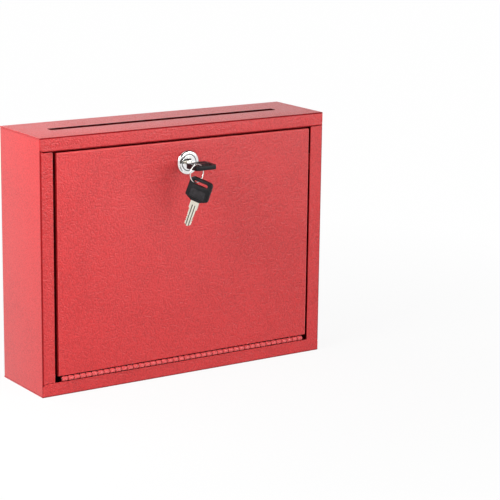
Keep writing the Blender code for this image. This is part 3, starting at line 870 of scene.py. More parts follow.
@dataclass
class SheetMetal:
    """How every folded sheet of the box is made."""

    bench: Workbench
    coat: Material
    painted_fold_coat: Material
    shaded_inner_coat: Material
    shaded_gap_coat: Material
    thickness: float = 0.001
    bend: float = 0.0012
    bend_steps: int = 6
    bend_angle: float = 30.0
    edge: float = 0.00012
    edge_angle: float = 50.0

    @property
    def coats(self) -> tuple[Material, ...]:
        """The coats of outer faces, the painted shade or highlight of folds, the painted shade of
        the inner faces behind each, and the painted shade of gaps.
        """
        return (self.coat, self.painted_fold_coat, self.shaded_inner_coat, self.shaded_inner_coat, self.shaded_gap_coat)

    def tray(self, low: Corner, high: Corner, open_sides: Sequence[Side]) -> Shape:
        """The outer faces of a box, without those on its open sides.

        Args:
            low: The box's low corner.
            high: Its high corner.
            open_sides: Its open sides.

        Returns:
            The bmesh.
        """
        shape = bmesh.new()
        add_box(shape, low, high)
        shape.normal_update()
        ways = [Vector(side.value) for side in open_sides]
        gone = [face for face in shape.faces if any(face.normal.dot(way) > 0.5 for way in ways)]
        bmesh.ops.delete(shape, geom=gone, context="FACES")
        return shape

    def fold(self, shape: Shape, on_edge: Callable[[Vector], bool], move: Corner) -> None:
        """Folds a strip out from an edge.

        Args:
            shape: The sheet's outer faces.
            on_edge: The test of the places of the edge's ends.
            move: The way from that edge to the strip's other edge.
        """
        edge = next(e for e in shape.edges if all(on_edge(v.co) for v in e.verts))
        made = bmesh.ops.extrude_edge_only(shape, edges=[edge])["geom"]
        ends = [item for item in made if isinstance(item, bmesh.types.BMVert)]
        bmesh.ops.translate(shape, vec=move, verts=ends)

    def bent(self, name: str, shape: Shape) -> Object:
        """Rounds a sheet's folds and gives it its thickness, inward.

        Args:
            name: The object's name.
            shape: The sheet's outer faces.

        Returns:
            The sheet.
        """
        bmesh.ops.recalc_face_normals(shape, faces=shape.faces)
        middle = sum((v.co for v in shape.verts), Vector()) / len(shape.verts)
        outward = sum(
            face.normal.dot(face.calc_center_median() - middle) * face.calc_area()
            for face in shape.faces
        )
        if outward < 0:
            bmesh.ops.reverse_faces(shape, faces=shape.faces)
        made = self.bench.coat(self.bench.from_bmesh(name, shape), self.coats)
        # The rounded folds take the painted fold coat, shade or highlight, and the inner faces the
        # painted shade.
        self.bench.soften(made, self.bend, self.bend_steps, self.bend_angle, 1)
        return self.bench.change(made, "SOLIDIFY", {
            "thickness": self.thickness, "offset": -1.0, "use_even_offset": True,
            "material_offset": 2,
        })

    def finished(self, made: Object) -> Object:
        """Takes the sharpness off the sheet's cut edges and shades its folds smooth."""
        self.bench.soften(made, self.edge, 1, self.edge_angle)
        return self.bench.shade(made)


@dataclass
class Cabinet:
    """The box's fixed sheets: the wrapped shell, both ends and the clips that stop the door."""

    sheet: SheetMetal
    width: float = 0.310
    depth: float = 0.0795
    height: float = 0.2413
    side_flanges: Pair = (0.0126, 0.0140)
    top_flange: float = 0.0132
    bottom_flange: float = 0.0128
    flange_corner: float = 0.0045
    seams: Pair = (0.00045, 0.00006)
    gap: float = 0.0003
    lip: float = 0.0165
    tab: float = 0.010
    tab_setback: float = 0.004
    slot_length: float = 0.2485
    slot_width: float = 0.0094
    slot_corner: float = 0.0016
    hole_spacing: float = 0.200
    hole_height: float = 0.195
    hole_radius: float = 0.0045
    neck_radius: float = 0.0025
    neck_rise: float = 0.008
    over: float = 0.002
    cutter: float = 0.008
    end_ease: float = 0.00045
    pocket_reach: float = 0.03
    side_facing: float = 0.9

    @property
    def front(self) -> float:
        """The front face's y."""
        return -self.depth / 2

    @property
    def side(self) -> float:
        """Half the width."""
        return self.width / 2

    @property
    def middle(self) -> float:
        """The middle of the front opening, between the side flanges."""
        return (self.side_flanges[0] - self.side_flanges[1]) / 2

    def flange_pocket(self, edge: float, up: int) -> Object:
        """Clears the shell's flanges for an end's flange and its rounded corners.

        Args:
            edge: The height of the end's flange edge.
            up: 1 for the top and -1 for the bottom.

        Returns:
            The cutter.
        """
        centre_x, centre_z = self.side - self.flange_corner, edge + up * self.flange_corner
        left, right = (self.flange_corner + seam for seam in self.seams)
        outer, far = self.side + self.over, edge + up * self.pocket_reach
        outline = [(-outer, far), (-outer, centre_z)]
        outline += arc((-centre_x, centre_z), left, 180, 180 + up * 90)
        outline += arc((centre_x, centre_z), right, -up * 90, 0)
        outline += [(outer, centre_z), (outer, far)]
        depth = self.over + self.sheet.thickness + self.gap
        turn = upright(self.front - self.over + depth / 2)
        pocket = self.sheet.bench.plate("pocket", [outline], depth, turn=turn)
        self.sheet.bench.coat(pocket, self.sheet.coats)
        # The seam's walls on the left take the painted shade of the gaps.
        for face in pocket.data.polygons:
            face.material_index = IN_SHADED_GAPS if face.center.x < -centre_x else 0
        return pocket

    def keyholes(self) -> Object:
        """The wall screws' holes through the back.

        Returns:
            The cutter of both.
        """
        bench = self.sheet.bench
        rise = math.sqrt(self.hole_radius**2 - self.neck_radius**2)
        reach = math.degrees(math.atan2(rise, self.neck_radius))
        pair = None
        for side in (-1, 1):
            x = side * self.hole_spacing / 2
            centre, neck = (x, self.hole_height), (x, self.hole_height + self.neck_rise)
            outline = arc(centre, self.hole_radius, 180 - reach, 360 + reach, steps=24)
            outline += arc(neck, self.neck_radius, 0, 180, steps=12)
            hole = bench.plate("keyhole", [outline], self.cutter, turn=upright(self.depth / 2))
            pair = hole if pair is None else bench.combine(pair, hole, Cut.JOIN)
        return pair

    def shell(self) -> Object:
        """The back, the sides and the side flanges, wrapped from one sheet.

        Returns:
            The shell.
        """
        skin = self.sheet.thickness + self.gap
        low, high = (-self.side, self.front, skin), (self.side, self.depth / 2, self.height - skin)
        shape = self.sheet.tray(low, high, (Side.TOP, Side.UNDER, Side.FRONT))
        for side, flange in zip((-1, 1), self.side_flanges):
            at, move = Vector((side * self.side, self.front)), (-side * flange, 0.0, 0.0)
            self.sheet.fold(shape, lambda co, at=at: (co.xy - at).length < CLOSE, move)
        made = self.sheet.bent("steel_shell", shape)
        bench = self.sheet.bench
        bench.combine(made, self.flange_pocket(self.height - self.top_flange, 1), Cut.AWAY)
        bench.combine(made, self.flange_pocket(self.bottom_flange, -1), Cut.AWAY)
        bench.combine(made, self.keyholes(), Cut.AWAY)
        return self.sheet.finished(made)

    def end(self, name: str, flange: float, lip: float) -> Object:
        """An end sheet with its outer face at z = 0 and the box below it.

        Args:
            name: The object's name.
            flange: The height of its front flange.
            lip: How far the flange's lip reaches back, or 0 for none.

        Returns:
            The sheet.
        """
        bench, low = self.sheet.bench, -flange
        shape = self.sheet.tray(
            (-self.side, self.front, low), (self.side, self.depth / 2, 0.0),
            (Side.UNDER, Side.BACK, Side.LEFT, Side.RIGHT),
        )
        if lip:
            at = Vector((self.front, low))
            self.sheet.fold(shape, lambda co: (co.yz - at).length < CLOSE, (0.0, lip, 0.0))
        made = self.sheet.bent(name, shape)
        skin = self.sheet.thickness
        if lip:
            left = self.side_flanges[0] + skin - self.side
            right = self.side - self.side_flanges[1] - skin
            near, far = self.front + skin + self.sheet.bend, self.front + lip + self.over
            outer, under, over = self.side + self.over, low - self.over, low + skin + self.over
            spans = [
                ((right, near, under), (outer, far, over)),
                ((-outer, near, under), (left, far, over)),
            ]
            bench.combine(made, bench.block("lip_ends", spans), Cut.AWAY)
        outer, inner = skin + self.gap, 2 * skin + self.gap
        near, far = self.front + self.tab_setback, self.depth / 2 - self.tab_setback
        half = self.side - self.tab_setback
        tabs = [
            ((-self.side + outer, near, -self.tab), (-self.side + inner, far, -skin / 2)),
            ((self.side - inner, near, -self.tab), (self.side - outer, far, -skin / 2)),
            ((-half, self.depth / 2 - inner, -self.tab), (half, self.depth / 2 - outer, -skin / 2)),
        ]
        bench.combine(made, bench.block("tabs", tabs), Cut.JOIN)
        for side in (-1, 1):
            x, z = side * (self.side - self.flange_corner), low + self.flange_corner
            start = 0 if side > 0 else 180
            curve = arc((x, z), self.flange_corner, start, start - side * 90)
            edge, under = side * (self.side + self.over), low - self.over
            outline = [(edge, under), (edge, z), *curve, (x, under)]
            corner = bench.plate("corner", [outline], self.cutter, turn=upright(self.front))
            bench.combine(made, corner, Cut.AWAY)
        for vert in made.data.vertices:
            if abs(vert.co.x) > self.side - self.end_ease and vert.co.y < self.front + skin / 2:
                vert.co.x -= math.copysign(self.end_ease, vert.co.x)
        return made

    def top(self) -> Object:
        """The top with the paper slot and the lip that the cam turns behind.

        Returns:
            The top.
        """
        bench, made = self.sheet.bench, self.end("steel_top", self.top_flange, self.lip)
        length, width = self.slot_length / 2, self.slot_width / 2
        left, right = self.middle - length, self.middle + length
        outline = rounded(left, -width, right, width, self.slot_corner)
        slot = bench.plate("slot", [outline], self.cutter)
        # The slot's cut rim takes the painted shade of the gaps.
        bench.combine(made, bench.coat(slot, self.sheet.coats, IN_SHADED_GAPS), Cut.AWAY)
        made.data.transform(Matrix.Translation((0.0, 0.0, self.height)))
        return self.sheet.finished(made)

    def bottom(self) -> Object:
        """The bottom with its front flange.

        Returns:
            The bottom.
        """
        made = self.end("steel_bottom", self.bottom_flange, 0.0)
        made.data.transform(Matrix.Rotation(math.pi, 4, "Y"))
        return self.sheet.finished(made)

    def build(self, palette: Palette) -> None:
        """Builds the sheets and seats them on the cabinet.

        Args:
            palette: The finishes.
        """
        bench = self.sheet.bench
        shell = self.shell()
        bench.recoat(shell, palette.side, lambda face: (
            face.material_index == 0 and abs(face.normal.x) > self.side_facing
        ))
        bench.seat(shell, Body.CABINET, Slot.RED, "cabinet_shell")
        bench.seat(self.top(), Body.CABINET, Slot.RED, "top_panel")
        bench.seat(self.bottom(), Body.CABINET, Slot.RED, "bottom_panel")
        bench.paint(("door_stop_left", "door_stop_right"), palette.red)


@dataclass
class Door:
    """The drop-down door, a shallow pan."""

    sheet: SheetMetal
    left: float = -0.1392
    right: float = 0.1390
    bottom: float = 0.0186
    top: float = 0.2267
    front: float = -0.03975
    fold_depth: float = 0.012
    lock_place: Point = (-0.0007, 0.2060)
    hole_radius: float = 0.0093
    hole_flats: float = 0.0166
    cutter: float = 0.006
    shaded_return_facing: float = -0.5
    shaded_fold_facing: float = -0.3

    def build(self, palette: Palette) -> None:
        """Builds the pan with the lock's hole and seats it on the door.

        Args:
            palette: The finishes.
        """
        shape = self.sheet.tray(
            (self.left, self.front, self.bottom),
            (self.right, self.front + self.fold_depth, self.top),
            (Side.BACK, Side.UNDER),
        )
        made = self.sheet.bent("steel_door", shape)
        across, up = self.lock_place
        outline = [(x + across, y + up) for x, y in double_d(self.hole_radius, self.hole_flats)]
        bench = self.sheet.bench
        hole = bench.plate("lock_hole", [outline], self.cutter, turn=upright(self.front))
        bench.combine(made, hole, Cut.AWAY)
        self.sheet.finished(made)
        # Outer faces that don't face forward, the door's returns in the gaps, take painted shade.
        bench.recoat(made, palette.inside, lambda face: (
            face.material_index == 0 and face.normal.y > self.shaded_return_facing
        ))
        # The left fold, facing into the gap, takes the darker painted shade.
        bench.recoat(made, palette.fold, lambda face: (
            face.material_index == 1 and face.normal.x < self.shaded_fold_facing
        ))
        bench.seat(made, Body.DOOR, Slot.RED, "door_panel")


@dataclass
class PianoHinge:
    """The full-width hinge: two leaves whose rolled knuckles share a pin."""

    bench: Workbench
    pin: Corner = (-0.0007, -0.03995, 0.0158)
    length: float = 0.2706
    knuckles: int = 43
    radius: float = 0.0020
    bore: float = 0.0011
    knuckle_gap: float = 0.0008
    leaf_gap: float = 0.0003
    leaf: float = 0.0007
    leaf_front: float = 0.0015
    leaf_height: float = 0.0115
    edge: float = 0.0004
    neck_in: float = 0.0004
    shade_angle: float = 50.0

    def knuckle(self, shape: Shape, start: float, end: float, steps: int = 24) -> None:
        """Adds a rolled tube with eased ends.

        Args:
            shape: The leaf that it is added to.
            start: The place along the pin where it starts.
            end: The place where it ends.
            steps: The number of faces round it.
        """
        ends = [
            (self.bore, start), (self.radius - self.edge, start), (self.radius, start + self.edge),
            (self.radius, end - self.edge), (self.radius - self.edge, end), (self.bore, end),
        ]
        turns = [math.tau * i / steps for i in range(steps)]
        rings = [
            [shape.verts.new((x, r * math.cos(turn), r * math.sin(turn))) for r, x in ends]
            for turn in turns
        ]
        for one, two in zip(rings, rings[1:] + rings[:1]):
            for i in range(len(ends)):
                j = (i + 1) % len(ends)
                shape.faces.new((one[i], one[j], two[j], two[i]))

    def build_leaf(self, name: str, side: int, first: int, palette: Palette) -> Object:
        """Builds one leaf.

        Args:
            name: The object's name.
            side: 1 for the leaf that rises behind the door, -1 for the one behind the bottom
                flange.
            first: The number of its first knuckle, from which it has every second one.
            palette: The finishes.

        Returns:
            The leaf.
        """
        pitch, shape = self.length / self.knuckles, bmesh.new()
        spans = []
        for index in range(first, self.knuckles, 2):
            start = -self.length / 2 + index * pitch + self.knuckle_gap / 2
            end = start + pitch - self.knuckle_gap
            self.knuckle(shape, start, end)
            low, high = sorted((0.0, side * (self.radius + self.leaf_gap)))
            spans.append(((start, self.leaf_front, low), (end, self.leaf_front + self.leaf, high)))
            neck_low, neck_high = sorted((0.0, side * self.leaf))
            neck_front, neck_back = self.bore + self.neck_in, self.leaf_front + self.leaf / 2
            spans.append(((start, neck_front, neck_low), (end, neck_back, neck_high)))
        bmesh.ops.recalc_face_normals(shape, faces=shape.faces)
        low, high = sorted((side * (self.radius + self.leaf_gap), side * self.leaf_height))
        half = self.length / 2
        spans.append(((-half, self.leaf_front, low), (half, self.leaf_front + self.leaf, high)))
        # The knuckles keep the lighter coat, a painted highlight; the leaves and necks take the
        # painted shade of the gaps.
        coats = (palette.hinge, palette.gap)
        tongues = self.bench.coat(self.bench.block("tongues", spans), coats, 1)
        shape.from_mesh(self.bench.take_mesh(tongues))
        bmesh.ops.translate(shape, vec=self.pin, verts=shape.verts)
        made = self.bench.from_bmesh(name, shape)
        for coat in coats:
            made.data.materials.append(coat)
        return self.bench.shade(made, self.shade_angle)

    def build(self, palette: Palette) -> None:
        """Builds both leaves and seats each on its body.

        Args:
            palette: The finishes.
        """
        door_leaf = self.build_leaf("hinge_leaf_of_door", 1, 1, palette)
        body_leaf = self.build_leaf("hinge_leaf_of_box", -1, 0, palette)
        self.bench.seat(door_leaf, Body.DOOR, Slot.RED, "hinge_door_leaf")
        self.bench.seat(body_leaf, Body.CABINET, Slot.RED, "hinge_body_leaf")
        self.bench.paint(("hinge_pin",), palette.zinc)


@dataclass
class CamLock:
    """The lock in the door, with z out of the door's face in its own frame."""

    bench: Workbench
    place: Corner = (-0.0007, -0.03975, 0.2060)
    bezel: float = 0.0117
    bezel_proud: float = 0.0030
    bezel_edge: float = 0.0024
    barrel: float = 0.0090
    flats: float = 0.0160
    length: float = 0.0165
    thread_pitch: float = 0.0010
    thread_depth: float = 0.0004
    thread_start: float = 0.0006
    thread_end: float = 0.0015
    thread_crest: Pair = (0.4, 0.6)
    gap: float = 0.0003
    over: float = 0.002
    overlap: float = 0.0008
    plug: float = 0.0063
    bore: float = 0.0078
    bore_edge: float = 0.0002
    head: float = 0.0073
    head_proud: float = 0.0032
    head_thickness: float = 0.0016
    head_edge: float = 0.0003
    keyway: Pair = (0.0075, 0.0026)
    keyway_end: float = -0.0126
    square: float = 0.0070
    cam_back: float = -0.0188
    screw_hole: float = 0.0022
    web: float = 0.0008
    wafers: int = 5
    wafer_first: float = 0.0011
    wafer_pitch: float = 0.0020
    wafer_thickness: float = 0.0008
    wafer_height: float = 0.0060
    shade_angle: float = 28.0

    @property
    def frame(self) -> Matrix:
        """From the lock's own frame to the box's."""
        return Matrix.Translation(self.place) @ UPRIGHT

    def housing(self, palette: Palette) -> Object:
        """The domed bezel and the threaded barrel behind it.

        Args:
            palette: The finishes.

        Returns:
            The housing.
        """
        seat = self.head_proud - self.head_thickness - self.gap
        bore, root, edge = self.bore, self.barrel - self.thread_depth, self.bezel_edge
        proud, mouth = self.bezel_proud, bore + self.bore_edge
        profile = [(bore, proud - self.bore_edge), (mouth, proud)]
        profile += arc((self.bezel - edge, proud - edge), edge, 90, 0)
        profile += [(self.bezel, self.gap), (root, self.gap)]
        for index in range(int((self.length - self.thread_end) / self.thread_pitch)):
            z = -self.thread_start - index * self.thread_pitch
            rise, fall = (z - self.thread_pitch * share for share in self.thread_crest)
            profile += [(root, z), (self.barrel, rise), (self.barrel, fall)]
        profile += [(root, -self.length), (self.plug + self.gap, -self.length)]
        profile += [(self.plug + self.gap, seat), (bore, seat)]
        made = self.bench.turned("lock_bezel_and_barrel", profile)
        outer, low, high = self.barrel + self.over, -self.length - self.over, self.gap / 2
        spans = [
            ((self.flats / 2, -outer, low), (outer, outer, high)),
            ((-outer, -outer, low), (-self.flats / 2, outer, high)),
        ]
        self.bench.combine(made, self.bench.block("flats", spans), Cut.AWAY)
        self.bench.coat(made, (palette.chrome,))
        reach = (bore + mouth) / 2
        # The bore's wall takes the near-black steel, a painted shade.
        self.bench.recoat(made, palette.bore, lambda face: face.center.xy.length < reach)
        made.data.transform(self.frame)
        return self.bench.shade(made, self.shade_angle)

    def plug_body(self, palette: Palette) -> Object:
        """The turning plug with its keyway, wafer slots and square drive.

        Args:
            palette: The finishes.

        Returns:
            The plug.
        """
        top, under = self.head_proud, self.head_proud - self.head_thickness
        edge = self.head_edge
        profile = [(0.0, top), *arc((self.head - edge, top - edge), edge, 90, 0, steps=4)]
        profile += [(self.head, under), (self.plug, under)]
        profile += [(self.plug, -self.length), (0.0, -self.length)]
        coats = (palette.chrome, palette.bore)
        made = self.bench.turned("lock_plug_with_keyway", profile, closed=False)
        self.bench.coat(made, coats)
        half, high = self.square / 2, -self.length + self.overlap
        drive = self.bench.block("drive", [((-half, -half, self.cam_back), (half, half, high))])
        self.bench.combine(made, drive, Cut.JOIN)
        x, y = self.keyway[0] / 2, self.keyway[1] / 2
        keyway = self.bench.block("keyway", [((-x, -y, self.keyway_end), (x, y, top + self.over))])
        # The keyway's walls take the near-black steel, a painted shade.
        self.bench.combine(made, self.bench.coat(keyway, coats, 1), Cut.AWAY)
        y, z = self.wafer_height / 2 + self.gap, self.wafer_thickness / 2 + self.gap
        places = [-self.wafer_first - i * self.wafer_pitch for i in range(self.wafers)]
        outer = self.plug + self.over
        spans = [((-outer, -y, at - z), (outer, y, at + z)) for at in places]
        self.bench.combine(made, self.bench.block("wafer_slots", spans), Cut.AWAY)
        ends = (self.cam_back - self.over, self.keyway_end - self.web)
        hole = self.bench.rod("screw_hole", self.screw_hole, *((0.0, 0.0, z) for z in ends))
        self.bench.combine(made, hole, Cut.AWAY)
        made.data.transform(self.frame)
        return self.bench.shade(made, self.shade_angle)

    def build(self, palette: Palette) -> None:
        """Builds the lock and seats its pieces on the door and the plug.

        Args:
            palette: The finishes.
        """
        self.bench.seat(self.housing(palette), Body.DOOR, Slot.CHROME, "lock_housing")
        self.bench.seat(self.plug_body(palette), Body.PLUG, Slot.CHROME, "lock_plug")
        inner = ("lock_nut", "nut_washer", "lock_cam", "cam_washer", "cam_screw")
        self.bench.paint(inner, palette.zinc)
        self.bench.paint([f"wafer_{i + 1}" for i in range(self.wafers)], palette.brass)


@dataclass
class Key:
    """A flat key, with x across it and z along it from the blade to the bow."""

    bench: Workbench
    shank: Pair = (0.0085, 0.0080)
    shoulder: float = 0.0004
    blade: Pair = (0.0066, 0.0252)
    thickness: float = 0.0020
    tip: float = 0.0024
    tang: Pair = (0.0070, 0.0060)
    cut_depth: float = 0.0009
    cut_floor: float = 0.0006
    cut_flank: float = 0.0005
    cut_shares: tuple[float, ...] = (0.45, 1.0, 0.6, 0.9, 0.35)
    cut_first: float = 0.0140
    cut_pitch: float = 0.0020
    groove: Pair = (0.0009, 0.0004)
    groove_offset: float = 0.0013
    bow: Pair = (0.0225, 0.0218)
    bow_thickness: float = 0.0050
    far_thickness: float = 0.0043
    taper_start: float = 0.0100
    bow_edge: float = 0.0007
    near_chamfer: Pair = (0.0068, 0.0040)
    far_corner: float = 0.0036
    slot: Pair = (0.0140, 0.0034)
    slot_corner: float = 0.0010
    slot_from_end: float = 0.0046
    panel: Pair = (0.0150, 0.0080)
    panel_corner: float = 0.0012
    panel_depth: float = 0.0005
    panel_place: float = 0.0075
    near_rounding: float = 0.0012
    near_rise: float = 0.0002
    near_turn: float = -42.0
    blade_edge: float = 0.00008
    blade_angle: float = 50.0
    bow_angle: float = 30.0
    gap: float = 0.0003
    over: float = 0.002

    def edge(self) -> list[Point]:
        """Half of the blade's outline, from the tang's end to the tip.

        Returns:
            Its points, as (x, z).
        """
        half, top = self.blade[0] / 2, -self.gap
        tang, shank = self.tang[0] / 2, self.shank[0] / 2
        points = [(tang, self.tang[1]), (tang, top), (shank, top)]
        points += [(shank, -self.shank[1] + self.shoulder), (half, -self.shank[1])]
        for index, share in enumerate(self.cut_shares):
            z, bottom = -self.cut_first - index * self.cut_pitch, half - share * self.cut_depth
            floor, mouth = self.cut_floor / 2, self.cut_floor / 2 + self.cut_flank
            points += [(half, z + mouth), (bottom, z + floor)]
            points += [(bottom, z - floor), (half, z - mouth)]
        return points + [(half, -self.blade[1] + self.tip), (half - self.tip, -self.blade[1])]

    def blade_mesh(self, palette: Palette) -> Mesh:
        """The stamped blade with its cuts and two milled grooves in each face.

        Args:
            palette: The finishes.

        Returns:
            Its mesh.
        """
        right = self.edge()
        left = [(-x, z) for x, z in reversed(right)]
        coats = (palette.nickel, palette.groove)
        made = self.bench.plate("key_blade_shape", [right + left], self.thickness, turn=UPRIGHT)
        self.bench.coat(made, coats)
        half, floor = self.groove[0] / 2, self.thickness / 2 - self.groove[1]
        outer, x = self.thickness / 2 + self.over, self.groove_offset
        low, high = -self.blade[1] - self.over, -self.shank[1] / 2
        spans = [
            ((at - half, near, low), (at + half, far, high))
            for at in (-x, x) for near, far in ((-outer, -floor), (floor, outer))
        ]
        # The grooves take the dark coat, a painted shade.
        grooves = self.bench.coat(self.bench.block("grooves", spans), coats, 1)
        self.bench.combine(made, grooves, Cut.AWAY)
        self.bench.soften(made, self.blade_edge, 1, self.blade_angle)
        return self.bench.take_mesh(self.bench.shade(made))

    def bow_mesh(self, palette: Palette) -> Mesh:
        """The moulded grip, thinner to its far end, with a slot and sunk panels.

        Args:
            palette: The finishes.

        Returns:
            Its mesh.
        """
        half, (near_x, near_z) = self.bow[0] / 2, self.near_chamfer
        near, far = self.near_rounding, self.far_corner
        right = [(half - near_x, 0.0)]
        right += arc((half - near, near_z + self.near_rise), near, self.near_turn, 0, steps=4)
        right += arc((half - far, self.bow[1] - far), far, 0, 90)
        outline = right + [(-x, z) for x, z in reversed(right)]
        length, width = self.slot[0] / 2, self.slot[1] / 2
        centre = self.bow[1] - self.slot_from_end
        hole = rounded(-length, centre - width, length, centre + width, self.slot_corner)
        coats = (palette.plastic, palette.grip)
        made = self.bench.plate(
            "key_bow_shape", [outline, hole], self.bow_thickness, self.bow_edge, UPRIGHT
        )
        self.bench.coat(made, coats)
        shape = bmesh.new()
        shape.from_mesh(made.data)
        for z in (self.taper_start, (self.taper_start + self.bow[1]) / 2):
            whole = shape.verts[:] + shape.edges[:] + shape.faces[:]
            place, up = (0.0, 0.0, z), (0.0, 0.0, 1.0)
            bmesh.ops.bisect_plane(shape, geom=whole, plane_co=place, plane_no=up)
        for vert in shape.verts:
            share = max(0.0, vert.co.z - self.taper_start) / (self.bow[1] - self.taper_start)
            vert.co.y *= 1 + share * (self.far_thickness / self.bow_thickness - 1)
        bmesh.ops.recalc_face_normals(shape, faces=shape.faces)
        shape.to_mesh(made.data)
        shape.free()
        tang_x, tang_y = self.tang[0] / 2 + self.gap, self.thickness / 2 + self.gap
        pocket = [((-tang_x, -tang_y, -self.over), (tang_x, tang_y, self.tang[1] + self.gap))]
        self.bench.combine(made, self.bench.block("tang_pocket", pocket), Cut.AWAY)
        half_x, half_z, place = self.panel[0] / 2, self.panel[1] / 2, self.panel_place
        outline = rounded(-half_x, place - half_z, half_x, place + half_z, self.panel_corner)
        for side in (-1, 1):
            middle = side * (self.bow_thickness / 2 + self.over / 2 - self.panel_depth)
            panel = self.bench.plate("panel", [outline], self.over, turn=upright(middle))
            self.bench.combine(made, self.bench.coat(panel, coats, 1), Cut.AWAY)
        return self.bench.take_mesh(self.bench.shade(made, self.bow_angle))


@dataclass
class KeySet:
    """The key in the lock, the ring in its slot, and the spare key that hangs on the ring."""

    bench: Workbench
    key: Key
    lock: CamLock
    standoff: float = 0.0129
    slot_place: float = 0.0172
    rim: float = 0.009125
    ring_radius: float = 0.0084
    ring_wire: float = 0.0006
    ring_steps: int = 72
    ring_drop: float = 0.0046
    ring_yaw: float = 12.0
    ring_out: float = 0.0009
    spare_yaw: float = -52.4
    spare_lean: float = 19.0
    spare_in_slot: float = 0.0048

    def ring(self) -> Object:
        """The wire ring, in its place.

        Returns:
            The ring.
        """
        curve = bpy.data.curves.new("ring", "CURVE")
        curve.dimensions = "3D"
        curve.bevel_depth = self.ring_wire
        curve.bevel_resolution = 4
        spline = curve.splines.new("POLY")
        spline.points.add(self.ring_steps - 1)
        for index, point in enumerate(spline.points):
            turn = math.tau * index / self.ring_steps
            x, z = self.ring_radius * math.cos(turn), self.ring_radius * math.sin(turn)
            point.co = (x, 0.0, z, 1.0)
        spline.use_cyclic_u = True
        mesh = self.bench.cast("ring", curve)
        centre = self.rim_place + Vector((0.0, 0.0, -self.ring_drop))
        turn = Matrix.Rotation(math.radians(self.ring_yaw), 4, "Z")
        mesh.transform(Matrix.Translation(centre) @ turn)
        mesh.shade_smooth()
        return self.bench.thing("wire_ring", mesh)

    @property
    def rim_place(self) -> Vector:
        """Where the ring goes round the slot's left rim, in the box's frame."""
        out = self.standoff + self.slot_place + self.ring_out
        return self.lock.frame @ Vector((-self.rim, 0.0, out))

    def build(self, palette: Palette) -> None:
        """Builds both keys and the ring and seats each on its body.

        Args:
            palette: The finishes.
        """
        blade, bow = self.key.blade_mesh(palette), self.key.bow_mesh(palette)
        first = self.lock.frame @ Matrix.Translation((0.0, 0.0, self.standoff))
        hang = self.rim_place + Vector((0.0, 0.0, -self.ring_drop - self.ring_radius))
        yaw = Matrix.Rotation(math.radians(self.spare_yaw), 4, "Z")
        turn = yaw @ Matrix.Rotation(math.radians(self.spare_lean), 4, "Y")
        held = Matrix.Translation((self.spare_in_slot, 0.0, -self.slot_place))
        spare = Matrix.Translation(hang) @ turn @ held
        for prefix, node, place, body in (
            ("turned_key", "key", first, Body.KEY),
            ("spare_key", "spare_key", spare, Body.SPARE_KEY),
        ):
            for what, mesh, slot in (("blade", blade, Slot.NICKEL), ("bow", bow, Slot.PLASTIC)):
                made = self.bench.thing(f"{prefix}_{what}_piece", mesh)
                made.matrix_world = place
                self.bench.seat(made, body, slot, f"{node}_{what}")
        ring = self.bench.coat(self.ring(), (palette.steel_wire,))
        self.bench.seat(ring, Body.RING, Slot.ZINC, "key_ring")


@dataclass
class Lamp:
    """One soft box."""

    name: str
    place: Corner
    target: Corner
    size: Pair
    power: float


